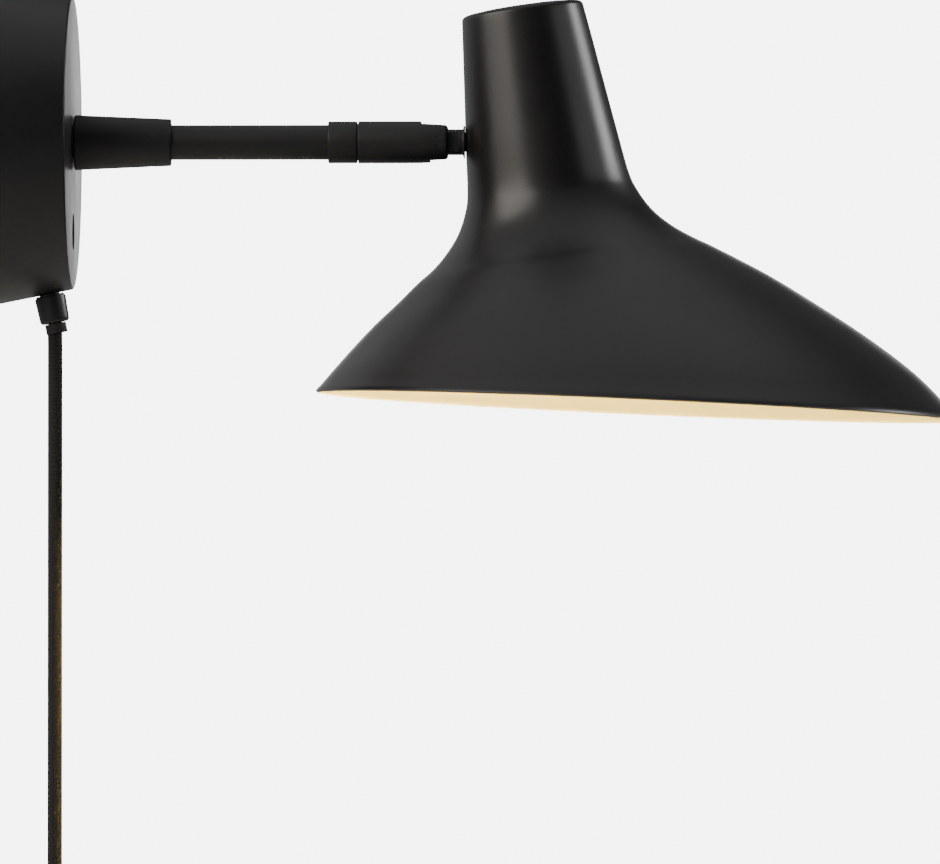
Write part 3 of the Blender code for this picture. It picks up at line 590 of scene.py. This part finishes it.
def makeCoilTie():
    centreY, centreZ = cordRoute["coilCentre"]
    x = (cordRoute["frontX"] + cordRoute["backX"]) / 2
    half = [inside + tieLook["skin"] / 2 for inside in tieLook["inside"]]
    bm = bmesh.new()
    bmesh.ops.create_grid(bm, x_segments=1, y_segments=1, size=1)
    bmesh.ops.scale(bm, vec=(half[0], half[1], 1), verts=bm.verts)
    bmesh.ops.bevel(
        bm,
        geom=bm.verts[:],
        offset=tieLook["corner"],
        segments=6,
        profile=0.5,
        affect="VERTICES",
        material=-1,
    )
    ring = [e for e in bm.edges if e.is_boundary]
    bmesh.ops.delete(bm, geom=bm.faces[:], context="FACES_ONLY")
    raised = bmesh.ops.extrude_edge_only(bm, edges=ring)
    moved = [v for v in raised["geom"] if isinstance(v, bmesh.types.BMVert)]
    bmesh.ops.translate(bm, vec=(0, 0, tieLook["width"]), verts=moved)
    bmesh.ops.translate(bm, vec=(0, tieLook["reach"], -tieLook["width"] / 2), verts=bm.verts)
    turn = Matrix.Rotation(math.radians(tieLook["angle"]), 4, "X")
    place = Matrix.Translation((x, centreY, centreZ)) @ turn
    bmesh.ops.transform(bm, matrix=place, verts=bm.verts)
    tie = toMesh("coilStrap", bm, softRubber)
    wall = tie.modifiers.new("wall", "SOLIDIFY")
    wall.thickness = tieLook["skin"]
    wall.offset = 0
    bakeShape(tie)
    return carry(tie, "wall_unit", "rubber", "coil_tie")


plugShape = {
    "ribs": 6,
    "reliefTop": 0.0039,
    "reliefSpread": 0.0012,
    "ribDepth": 0.0008,
    "bodyEdge": 0.0026,
    "pinSleeve": 0.01,
}


def makePlug():
    # ribbed bend relief, flat two-pin body and half-sleeved pins
    top = Vector(cordRoute["tailEnd"])
    low, high = lowHigh("plug_relief")
    length = high.z - low.z
    ribs = [(0.0031, 0)]
    count = plugShape["ribs"]
    for i in range(count):
        radius = plugShape["reliefTop"] + plugShape["reliefSpread"] * i / (count - 1)
        groove = radius - plugShape["ribDepth"]
        start = length * i / count
        ribs += [
            (radius, -start - 0.0002, 0.0003),
            (radius, -start - length / count * 0.62, 0.0003),
            (groove, -start - length / count * 0.68, 0.0002),
            (groove, -start - length / count * 0.95, 0.0002),
        ]
    ribs += [(0.0052, -length + 0.0002), (0.0052, -length), (0, -length)]
    outline = [(0, 0), *softCorners(ribs)]
    relief = lathe("plugRelief", outline, (top.x, top.y, high.z), zAxis, softRubber, steps=48)
    carry(relief, "wall_unit", "rubber", "plug_relief")

    low, high = lowHigh("plug_body")
    bm = bmesh.new()
    bmesh.ops.create_cube(bm, size=1)
    bmesh.ops.subdivide_edges(bm, edges=bm.edges[:], cuts=5, use_grid_fill=True)
    size = high - low
    for vert in bm.verts:
        up = vert.co.z + 0.5
        vert.co.y *= 1 - 0.5 * easeStep(up * 1.15 - 0.1)
        vert.co.x *= 1 - 0.08 * up
    bmesh.ops.scale(bm, vec=size, verts=bm.verts)
    bmesh.ops.translate(bm, vec=(low + high) / 2, verts=bm.verts)
    body = toMesh("plugBody", bm, blackPlastic)
    edge = body.modifiers.new("edge", "BEVEL")
    edge.width = plugShape["bodyEdge"]
    edge.segments = 4
    edge.limit_method = "ANGLE"
    edge.angle_limit = math.radians(60)
    bakeShape(body)
    carry(body, "wall_unit", "black_plastic", "plug_body")

    pins = []
    for node in ("plug_pin_left", "plug_pin_right"):
        low, high = lowHigh(node)
        middle = Vector(((low.x + high.x) / 2, (low.y + high.y) / 2, high.z))
        length = high.z - low.z
        radius = (high.x - low.x) / 2
        sleeve = plugShape["pinSleeve"]
        outline = softCorners(
            [
                (0, 0),
                (radius - 0.00015, 0),
                (radius - 0.00015, 0.0002 - sleeve, 0.0001),
                (radius - 0.0003, -sleeve),
                (radius - 0.0003, -length, 0.0011),
                (0, -length),
            ]
        )
        pin = lathe(node + "Fine", outline, middle, zAxis, blackPlastic, steps=40)
        pin.data.materials.append(nickelPlate)
        for face in pin.data.polygons:
            if face.center.z < middle.z + 0.0001 - sleeve:
                face.material_index = 1
        carry(pin, "wall_unit", "brass", node)
        pins.append(pin)
    return [relief, body, *pins]


coilTie = makeCoilTie()
plugPieces = makePlug()
carry(cordPiece, "wall_unit", "textile", "cord_drop", "cord_coil", "cord_tail")
print("cord, tie and plug made")


canopyShape = {
    "wall": 0.00163,
    "faceWall": 0.0016,
    "faceRadius": 0.06,
    "edge": 0.0011,
    "hole": 0.0052,
    "buttonHole": 0.0075,
    "glandHole": 0.0043,
    "screwHole": 0.0021,
    "steps": 192,
}


def makeCanopy():
    low, high = lowHigh("canopy")
    back, face = low.x, high.x
    rim = radiusOf("canopy")
    front = canopyShape["faceRadius"]
    wall = canopyShape["wall"]
    inside = face - canopyShape["faceWall"]
    outline = softCorners(
        [
            (canopyShape["hole"], face),
            (front, face, canopyShape["edge"]),
            (rim, back, 0.0002),
            (rim - wall, back, 0.0002),
            (front - wall - 0.0002, inside, 0.001),
            (canopyShape["hole"], inside),
        ],
        closed=True,
    )
    steps = canopyShape["steps"]
    canopy = lathe("canopyShell", outline, (0, 0, 0), xAxis, canopyBlack, closed=True, steps=steps)
    buttonLow, buttonHigh = lowHigh("switch_button")
    buttonZ = (buttonLow.z + buttonHigh.z) / 2
    screwLow, screwHigh = lowHigh("canopy_screw_far")
    screwX = (screwLow.x + screwHigh.x) / 2
    carve(
        canopy,
        rod(canopyShape["buttonHole"], (face - 0.005, 0, buttonZ), (face + 0.005, 0, buttonZ), 64),
        rod(canopyShape["glandHole"], glandPoint(-0.006), glandPoint(0.006)),
        rod(canopyShape["screwHole"], (screwX, -0.08, 0), (screwX, 0.08, 0)),
    )
    carry(canopy, "wall_unit", "canopy_paint", "canopy")

    radius = (buttonHigh.y - buttonLow.y) / 2
    top = buttonHigh.x
    outline = softCorners(
        [
            (0, top - 0.0006),
            (radius * 0.75, top - 0.0004, 0.001),
            (radius - 0.0006, top, 0.0004),
            (radius, top - 0.0006, 0.0004),
            (radius, 0.0335, 0.0004),
            (0.0024, 0.0335, 0.0004),
            (0.0024, 0.024, 0.0004),
            (0, 0.024),
        ]
    )
    button = lathe("pushButton", outline, (0, 0, buttonZ), xAxis, blackPlastic, steps=72)
    carry(button, "button", "black_plastic", "switch_button")


glandShape = {
    "point": (0.0283, 0, -0.0619),
    "lean": 11.2,
    "length": 0.012,
    "bush": 0.0163,
    "bore": 0.00335,
    "bushRadius": 0.00435,
}


def glandPoint(distance):
    lean = math.radians(glandShape["lean"])
    return Vector(glandShape["point"]) + Vector((math.sin(lean), 0, -math.cos(lean))) * distance


def makeGland():
    up = glandPoint(-1) - glandPoint(0)
    end = -glandShape["length"]
    bore, bushRadius = glandShape["bore"], glandShape["bushRadius"]
    outline = softCorners(
        [
            (bore, 0.007),
            (0.0041, 0.007, 0.0003),
            (0.0041, -0.0005),
            (0.0058, -0.0005),
            (0.0058, -0.0012, 0.0001),
            (0.0064, -0.0012, 0.0002),
            (0.0060, end + 0.0006, 0.0012),
            (0.0052, end, 0.0008),
            (bore, end, 0.0004),
        ],
        closed=True,
    )
    body = lathe("glandBarrel", outline, glandShape["point"], up, glandPlastic, closed=True, steps=80)
    carry(body, "wall_unit", "black_plastic", "gland_body")
    tip = -glandShape["bush"]
    outline = softCorners(
        [
            (bore, end - 0.0003),
            (bushRadius, end - 0.0003, 0.0003),
            (bushRadius, tip + 0.0009, 0.0003),
            (0.0043, tip, 0.00015),
            (0.0041, tip, 0.0001),
            (bore, tip + 0.0022, 0.0006),
        ],
        closed=True,
    )
    bush = lathe("glandBush", outline, glandShape["point"], up, softRubber, closed=True, steps=64)
    carry(bush, "wall_unit", "rubber", "gland_bush")


makeCanopy()
makeGland()
print("canopy, button and gland made")


armShape = {
    "bore": 0.00725,
    "nippleHole": 0.0052,
    "web": 0.0436,
    "sleeveTip": 0.0096,
    "tubeWall": 0.0014,
    "boltHole": 0.00415,
    "cuffWeb": 0.1502,
    "steps": 96,
}


def makeArm():
    low, high = lowHigh("arm_sleeve")
    base = radiusOf("arm_sleeve")
    tip = armShape["sleeveTip"]
    outline = softCorners(
        [
            (armShape["bore"], high.x, 0.0002),
            (tip - 0.0003, high.x, 0.0001),
            (tip, high.x - 0.0003, 0.0004),
            (base, low.x, 0.0011),
            (armShape["nippleHole"], low.x),
            (armShape["nippleHole"], armShape["web"]),
            (armShape["bore"], armShape["web"]),
        ],
        closed=True,
    )
    sleeve = lathe("armSleeve", outline, (0, 0, 0), xAxis, armBlack, closed=True, steps=armShape["steps"])
    grubX = sum(v.x for v in lowHigh("sleeve_grub_screw")) / 2
    carve(sleeve, rod(0.0021, (grubX, 0, -0.006), (grubX, 0, -0.012)))
    carry(sleeve, "wall_unit", "arm_paint", "arm_sleeve")

    low, high = lowHigh("arm_tube")
    radius = radiusOf("arm_tube")
    outline = softCorners(
        [
            (radius - armShape["tubeWall"], high.x),
            (radius, high.x, 0.0003),
            (radius, low.x, 0.0003),
            (radius - armShape["tubeWall"], low.x),
        ],
        closed=True,
    )
    tube = lathe("armTube", outline, (0, 0, 0), xAxis, armBlack, closed=True, steps=armShape["steps"])
    carry(tube, "wall_unit", "arm_paint", "arm_tube")

    low, high = lowHigh("cuff")
    radius = radiusOf("cuff")
    outline = softCorners(
        [
            (armShape["boltHole"], high.x),
            (radius, high.x, 0.0004),
            (radius, low.x, 0.0006),
            (armShape["bore"], low.x, 0.0002),
            (armShape["bore"], armShape["cuffWeb"]),
            (armShape["boltHole"], armShape["cuffWeb"]),
        ],
        closed=True,
    )
    cuff = lathe("armCuff", outline, (0, 0, 0), xAxis, armBlack, closed=True, steps=armShape["steps"])
    carry(cuff, "wall_unit", "arm_paint", "cuff")


forkShape = {
    "slotHalf": 0.0042,
    "rootTop": 0.1802,
    "rootBottom": 0.1842,
    "bore": 0.0041,
    "pocket": 0.0057,
    "studHole": 0.00206,
    "studEnd": 0.00812,  # the stud's hole stops short of the outside
}

tongueShape = {
    "halfThick": 0.0036,
    "shoulder": 0.0095,
    "end": 0.1971,
    "stub": 0.0039,
    "leadHole": 0.0024,
    "studHole": 0.00215,
}


def makeFork():
    low, high = lowHigh("swivel_body")
    radius = radiusOf("swivel_body")
    pivotX = sum(v.x for v in lowHigh("pivot_stud_near")) / 2
    outline = softCorners(
        [
            (forkShape["bore"], high.x, 0.0002),
            (radius - 0.0006, high.x, 0.0012),
            (radius, 0.18, 0.003),
            (radius, low.x, 0.0004),
            (forkShape["bore"], low.x, 0.0002),
        ],
        closed=True,
    )
    fork = lathe("swivelFork", outline, (0, 0, 0), xAxis, armBlack, closed=True, steps=armShape["steps"])
    reach = 0.012
    lean = (forkShape["rootBottom"] - forkShape["rootTop"]) / (2 * radius)
    bm = bmesh.new()
    bmesh.ops.create_cube(bm, size=2)
    middle = (forkShape["rootTop"] + forkShape["rootBottom"]) / 2
    for vert in bm.verts:
        up = vert.co.z * reach
        out = high.x + 0.005 if vert.co.x > 0 else middle - lean * up
        vert.co = (out, vert.co.y * forkShape["slotHalf"], up)
    slot = toMesh("helper", bm)
    half, studEnd = forkShape["slotHalf"], forkShape["studEnd"]
    carve(
        fork,
        slot,
        rod(forkShape["pocket"], (pivotX, -half, 0), (pivotX, half, 0), 64),
        rod(forkShape["studHole"], (pivotX, -studEnd, 0), (pivotX, studEnd, 0)),
    )
    edge = fork.modifiers.new("edge", "BEVEL")
    edge.width = 0.00022
    edge.segments = 2
    edge.limit_method = "ANGLE"
    edge.angle_limit = math.radians(50)
    bakeShape(fork)
    carry(fork, "swivel", "arm_paint", "swivel_body")

    tipHigh = lowHigh("knuckle_tongue")[1]
    eye = radiusOf("knuckle_tongue")
    halfThick, stub = tongueShape["halfThick"], tongueShape["stub"]
    shoulder = pivotX + tongueShape["shoulder"]
    tongueEnd = tongueShape["end"]
    washerHigh = lowHigh("neck_washer")[1]
    outline = softCorners(
        [
            (0, tipHigh.x),
            (stub, tipHigh.x, 0.0004),
            (stub, tongueEnd),
            (eye, tongueEnd, 0.0001),
            (eye, pivotX),
            (0, pivotX),
        ]
    )
    tongue = lathe("tiltTongue", outline, (0, 0, 0), xAxis, armBlack, steps=armShape["steps"])
    carve(
        tongue,
        block((pivotX - 0.009, -0.009, -0.009), (shoulder, -halfThick, 0.009)),
        block((pivotX - 0.009, halfThick, -0.009), (shoulder, 0.009, 0.009)),
    )
    carve(tongue, rod(eye, (pivotX, -halfThick, 0), (pivotX, halfThick, 0), 80), operation="UNION")
    carve(
        tongue,
        rod(tongueShape["leadHole"], (pivotX - 0.009, 0, 0), (tipHigh.x + 0.002, 0, 0)),
        rod(tongueShape["studHole"], (pivotX, -0.009, 0), (pivotX, 0.009, 0)),
    )
    edge = tongue.modifiers.new("edge", "BEVEL")
    edge.width = 0.0002
    edge.segments = 2
    edge.limit_method = "ANGLE"
    edge.angle_limit = math.radians(50)
    bakeShape(tongue)
    carry(tongue, "head", "arm_paint", "knuckle_tongue")

    radius = radiusOf("neck_washer")
    outline = softCorners(
        [
            (0.0041, washerHigh.x),
            (radius, washerHigh.x, 0.0001),
            (radius, washerHigh.x - 0.0006, 0.0003),
            (eye + 0.0003, tongueEnd + 0.0005, 0.0003),
            (eye, tongueEnd, 0.0001),
            (0.0041, tongueEnd),
        ],
        closed=True,
    )
    washer = lathe("neckCollar", outline, (0, 0, 0), xAxis, armBlack, closed=True, steps=armShape["steps"])
    carry(washer, "head", "arm_paint", "neck_washer")

    for word, side in (("near", -1), ("far", 1)):
        low, high = lowHigh("pivot_stud_" + word)
        outer = max(abs(low.y), abs(high.y))
        inner = min(abs(low.y), abs(high.y))
        outline = softCorners([(0, outer), (0.002, outer, 0.0003), (0.002, inner, 0.0002), (0, inner)])
        stud = lathe("pivotStud" + word, outline, (pivotX, 0, 0), yAxis * side, armBlack, steps=48)
        carry(stud, "swivel", "arm_paint", "pivot_stud_" + word)


makeArm()
makeFork()
print("arm and knuckle made")


shadeShape = {
    "wall": 0.0015,
    "steps": 192,
    "between": 5,
    # matching points down the wall side and the room side, as (x, z)
    "sides": (
        ((0.1969, 0.049), (0.2465, 0.0563)),
        ((0.1974, 0.0335), (0.2505, 0.0416)),
        ((0.1979, 0.0171), (0.2547, 0.0258)),
        ((0.1985, -0.0033), (0.26, 0.0061)),
        ((0.1991, -0.0216), (0.2649, -0.0116)),
        ((0.198, -0.0299), (0.2684, -0.0192)),
        ((0.1952, -0.0381), (0.2745, -0.0274)),
        ((0.1907, -0.0456), (0.2825, -0.0339)),
        ((0.1852, -0.0522), (0.2914, -0.0389)),
        ((0.1787, -0.058), (0.3007, -0.0433)),
        ((0.1707, -0.066), (0.3225, -0.0547)),
        ((0.1618, -0.0744), (0.3434, -0.0675)),
        ((0.1533, -0.0833), (0.3639, -0.0811)),
        ((0.145, -0.0926), (0.3832, -0.0961)),
        ((0.1372, -0.1018), (0.4002, -0.1137)),
    ),
    "lip": ((0.0024, 0.0018), (0.0016, 0.001), (0.0008, 0.00035), (0.0, 0.0)),  # (up, in) from the rim
    "topEdge": 0.0030,
    "topRise": 0.0024,
}


def smoothPairs(pairs, between):
    # more sections between the given ones, on smooth curves down both sides
    left = [Vector((p[0][0], 0, p[0][1])) for p in pairs]
    right = [Vector((p[1][0], 0, p[1][1])) for p in pairs]

    def finer(points):
        ends = withEnds(points)
        found = []
        for before, a, b, after in zip(ends, ends[1:], ends[2:], ends[3:]):
            found += [curveAt(before, a, b, after, i / between) for i in range(between)]
        return [*found, points[-1]]

    return list(zip(finer(left), finer(right)))


def makeShade():
    sections = []
    for a, b in smoothPairs(shadeShape["sides"], shadeShape["between"]):
        across = b - a
        sections.append(((a + b) / 2, across.length / 2, math.atan2(across.z, across.x)))
    centre, radius, lean = sections[-1]
    up = Vector((-math.sin(lean), 0, math.cos(lean)))
    while (sections[-1][0] - centre).dot(up) < shadeShape["lip"][0][0] + 0.0012:
        sections.pop()
    for rise, inward in shadeShape["lip"]:
        sections.append((centre + up * rise, radius - inward, lean))
    top, radius, lean = sections[0]
    up = Vector((-math.sin(lean), 0, math.cos(lean)))
    edge, rise = shadeShape["topEdge"], shadeShape["topRise"]
    dome = []
    for share in (0.12, 0.3, 0.5, 0.7, 0.85):
        height = rise * (1 - 0.35 * share**2) + edge * 0.25
        dome.append((top + up * height, (radius - edge) * share, lean))
    for i in range(7):
        angle = math.radians(15 * i)
        height = edge * math.cos(angle) * 0.72
        dome.append((top + up * height, radius - edge + edge * math.sin(angle), lean))
    sections = dome[:-1] + sections
    bm = bmesh.new()
    loops = []
    for centre, radius, lean in sections:
        made = bmesh.ops.create_circle(
            bm,
            segments=shadeShape["steps"],
            radius=radius,
            matrix=Matrix.Translation(centre) @ Matrix.Rotation(-lean, 4, "Y"),
        )
        loops.append(list({edge for vert in made["verts"] for edge in vert.link_edges}))
    bmesh.ops.contextual_create(bm, geom=loops[0])
    for above, below in zip(loops, loops[1:]):
        bmesh.ops.bridge_loops(bm, edges=above + below)
    shade = toMesh("lampShade", bm, shadeBlack, shadeCream, sharp=50)
    wall = shade.modifiers.new("wall", "SOLIDIFY")
    wall.thickness = shadeShape["wall"]
    wall.offset = -1
    wall.use_even_offset = True
    wall.material_offset = 1
    wall.material_offset_rim = 0
    bakeShape(shade)
    carve(shade, rod(0.0042, (0.19, 0, 0), (0.206, 0, 0)))
    carry(shade, "head", "shade_aluminium", "shade")


makeShade()
print("shade made")


# the lampholder and bulb share the neck's axis
socketShape = {"top": (0.2217, 0, 0.05265), "lean": 8.46}


def holderPoint(distance):
    lean = math.radians(socketShape["lean"])
    return Vector(socketShape["top"]) + Vector((math.sin(lean), 0, -math.cos(lean))) * distance


def downOutline(corners, closed):
    # millimetres across and down the neck's axis
    scaled = [(c[0] * mm, -c[1] * mm, *(r * mm for r in c[2:])) for c in corners]
    return softCorners(scaled, closed)


holderShape = {
    # (across, down, rounding) in millimetres on the neck's axis
    "cap": (
        (5.05, 19.6),
        (9, 19.6, 0.8),
        (12, 21.5, 1.5),
        (13.6, 25, 1.5),
        (13.6, 35, 0.2),
        (12.2, 35),
        (12.2, 26),
        (8.6, 21.4),
        (5.05, 21.4),
    ),
    "skirtTop": ((12.2, 35.3), (13.6, 35.3, 0.2)),
    "skirtEnd": (
        (13.6, 64.5, 0.6),
        (12.6, 65.5, 0.4),
        (10.5, 65.5, 0.4),
        (10.5, 42),
        (1.7, 42),
        (1.7, 38),
        (12.2, 38),
    ),
    "firstRib": 38,
    "ribs": 9,
    "ribStep": 2.2,
    "outer": 13.6,
    "groove": 13.1,
}


def makeLampholder():
    # a plain cap, and a skirt ribbed for grip
    up = holderPoint(-1) - holderPoint(0)
    outline = downOutline(holderShape["cap"], True)
    cap = lathe("holderCap", outline, socketShape["top"], up, blackPlastic, True, 72)
    carry(cap, "head", "black_plastic", "holder_cap")
    outer, groove = holderShape["outer"], holderShape["groove"]
    corners = list(holderShape["skirtTop"])
    for i in range(holderShape["ribs"]):
        depth = holderShape["firstRib"] + i * holderShape["ribStep"]
        corners += [(outer, depth, 0.15), (groove, depth + 0.4, 0.15)]
        corners += [(groove, depth + 0.9, 0.15), (outer, depth + 1.3, 0.15)]
    corners += holderShape["skirtEnd"]
    skirt = lathe("holderSkirt", downOutline(corners, True), socketShape["top"], up, blackPlastic, True, 96)
    carry(skirt, "head", "black_plastic", "holder_skirt")


bulbShape = {"centre": 95, "outer": 22.5, "inner": 21.5}


def makeBulb():
    up = holderPoint(-1) - holderPoint(0)

    def arc(radius):
        found = []
        for a in range(40, 181, 5):
            angle = math.radians(a)
            found.append((radius * math.sin(angle), bulbShape["centre"] - radius * math.cos(angle)))
        return found

    outside = [(7.5, 66.8), (8.5, 66.8, 0.3), (9.5, 70, 1.5), (11.5, 74, 1.5), *arc(bulbShape["outer"])]
    inside = [(7.5, 67), (8.5, 70.3), (10.5, 74.4), *arc(bulbShape["inner"])]
    outline = downOutline(outside, False) + downOutline(inside, False)[::-1]
    globe = lathe("bulbGlobe", outline, socketShape["top"], up, opal, True, 72)
    carry(globe, "head", "opal_glass", "bulb_globe")


makeLampholder()
makeBulb()
print("lampholder and bulb made")


innerPieces = {
    # node: (body, slot, material, bevel)
    "wall_bracket": ("wall_unit", "steel", brushedSteel, 0.00025),
    "canopy_screw_near": ("wall_unit", "arm_paint", armBlack, 0.0002),
    "canopy_screw_far": ("wall_unit", "arm_paint", armBlack, 0.0002),
    "nipple_nut": ("wall_unit", "steel", zincSteel, 0.0003),
    "sleeve_nut": ("wall_unit", "steel", zincSteel, 0.0003),
    "shank_nut": ("head", "steel", zincSteel, 0.0003),
    "holder_nut": ("head", "steel", zincSteel, 0.0003),
    "gland_nut": ("wall_unit", "black_plastic", blackPlastic, 0.0003),
    "terminal_block": ("wall_unit", "white_plastic", whitePlastic, 0.0002),
    "cord_clamp": ("wall_unit", "black_plastic", blackPlastic, 0.0004),
    "switch_housing": ("wall_unit", "black_plastic", blackPlastic, 0.0004),
    "holder_strap": ("head", "steel", brushedSteel, 0.0002),
    "clamp_screw_1": ("wall_unit", "steel", zincSteel, 0.0001),
    "clamp_screw_2": ("wall_unit", "steel", zincSteel, 0.0001),
}
plainPieces = {
    "threaded_nipple": zincSteel,
    "nipple_washer": zincSteel,
    "sleeve_grub_screw": zincSteel,
    "swivel_bolt": zincSteel,
    "swivel_spring": zincSteel,
    "swivel_washer": nylon,
    "knuckle_washer_near": blackPlastic,
    "knuckle_washer_far": blackPlastic,
    "holder_nipple": zincSteel,
    "screw_shell": turnedBrass,
    "centre_contact": turnedBrass,
    "bulb_contact": nickelPlate,
    "bulb_cap": nickelPlate,
    "lead_supply": leadSleeve,
    "lead_switch": leadSleeve,
    "lead_arm": leadSleeve,
    "lead_head": leadSleeve,
}
for node, (body, slot, material, bevel) in innerPieces.items():
    softened(node, body, slot, material, bevel)
for node, material in plainPieces.items():
    nodes[node].data.materials.clear()
    nodes[node].data.materials.append(material)
print("inner pieces finished")


studio = {
    "aim": (0.25, 0, -0.03),
    "backdrop": 8.0,
    "left": 0.6,
    "right": 0.08,
    "overhead": 0.8,
    "behind": 5.0,
    "floorZ": -1.4,
    "floorRadius": 30.0,
}


def makeFloor():
    bm = bmesh.new()
    bmesh.ops.create_circle(bm, cap_ends=True, segments=96, radius=studio["floorRadius"])
    bmesh.ops.translate(bm, vec=(0.2, 0, studio["floorZ"]), verts=bm.verts)
    material, shader = newMaterial("paleFloor", (0.7, 0.7, 0.69), 0.85)
    toned(material, shader, objectNoise(material, 6, 4), (0.695, 0.695, 0.685), (0.705, 0.705, 0.695))
    floor = toMesh("floor", bm, material)


def makeSky():
    # a dim room, lighter on the left and overhead, that is plain pale where it is looked at
    world = bpy.data.worlds.new("studio")
    world.use_nodes = True
    bpy.context.scene.world = world
    tree = world.node_tree
    tree.nodes.clear()
    place = tree.nodes.new("ShaderNodeTexCoord")
    split = tree.nodes.new("ShaderNodeSeparateXYZ")
    tree.links.new(place.outputs["Generated"], split.inputs["Vector"])

    def glow(part, low, high, start, end):
        remap = tree.nodes.new("ShaderNodeMapRange")
        remap.interpolation_type = "SMOOTHSTEP"
        remap.inputs["From Min"].default_value = low
        remap.inputs["From Max"].default_value = high
        for socket, value in (("To Min", start), ("To Max", end)):
            if isinstance(value, float):
                remap.inputs[socket].default_value = value
            else:
                tree.links.new(value, remap.inputs[socket])
        tree.links.new(split.outputs[part], remap.inputs["Value"])
        return remap.outputs["Result"]

    sides = glow("X", -0.8, 0.5, studio["left"], studio["right"])
    room = glow("Z", 0.6, 0.95, sides, studio["overhead"])
    total = glow("Y", 0.965, 0.998, room, studio["behind"])
    lit = tree.nodes.new("ShaderNodeBackground")
    tree.links.new(total, lit.inputs["Strength"])
    seen = tree.nodes.new("ShaderNodeBackground")
    seen.inputs["Strength"].default_value = studio["backdrop"]
    rays = tree.nodes.new("ShaderNodeLightPath")
    mix = tree.nodes.new("ShaderNodeMixShader")
    tree.links.new(rays.outputs["Is Camera Ray"], mix.inputs["Fac"])
    tree.links.new(lit.outputs["Background"], mix.inputs[1])
    tree.links.new(seen.outputs["Background"], mix.inputs[2])
    output = tree.nodes.new("ShaderNodeOutputWorld")
    tree.links.new(mix.outputs["Shader"], output.inputs["Surface"])


softboxes = {
    # name: (degrees round, degrees up, distance, width, height, power, colour)
    "key": (-57, 26, 2.2, 1.9, 1.3, 37, (1, 0.93, 0.86)),
    "rearRight": (112, 17, 2.2, 0.7, 0.8, 18, (1, 1, 1)),
    "sideRight": (70, 20, 2.4, 1.3, 0.9, 4.5, (1, 1, 1)),
}


def makeLights():
    aim = Vector(studio["aim"])
    for name, (turned, raised, distance, width, height, power, colour) in softboxes.items():
        towards = outwards(turned, raised)
        lamp = bpy.data.lights.new(name, "AREA")
        lamp.shape = "RECTANGLE"
        lamp.size = width
        lamp.size_y = height
        lamp.energy = power
        lamp.color = colour
        light = bpy.data.objects.new(name, lamp)
        light.location = aim + towards * distance
        light.rotation_euler = towards.to_track_quat("Z", "Y").to_euler()
        bpy.context.scene.collection.objects.link(light)


makeFloor()
makeSky()
makeLights()
print("floor and lights made")
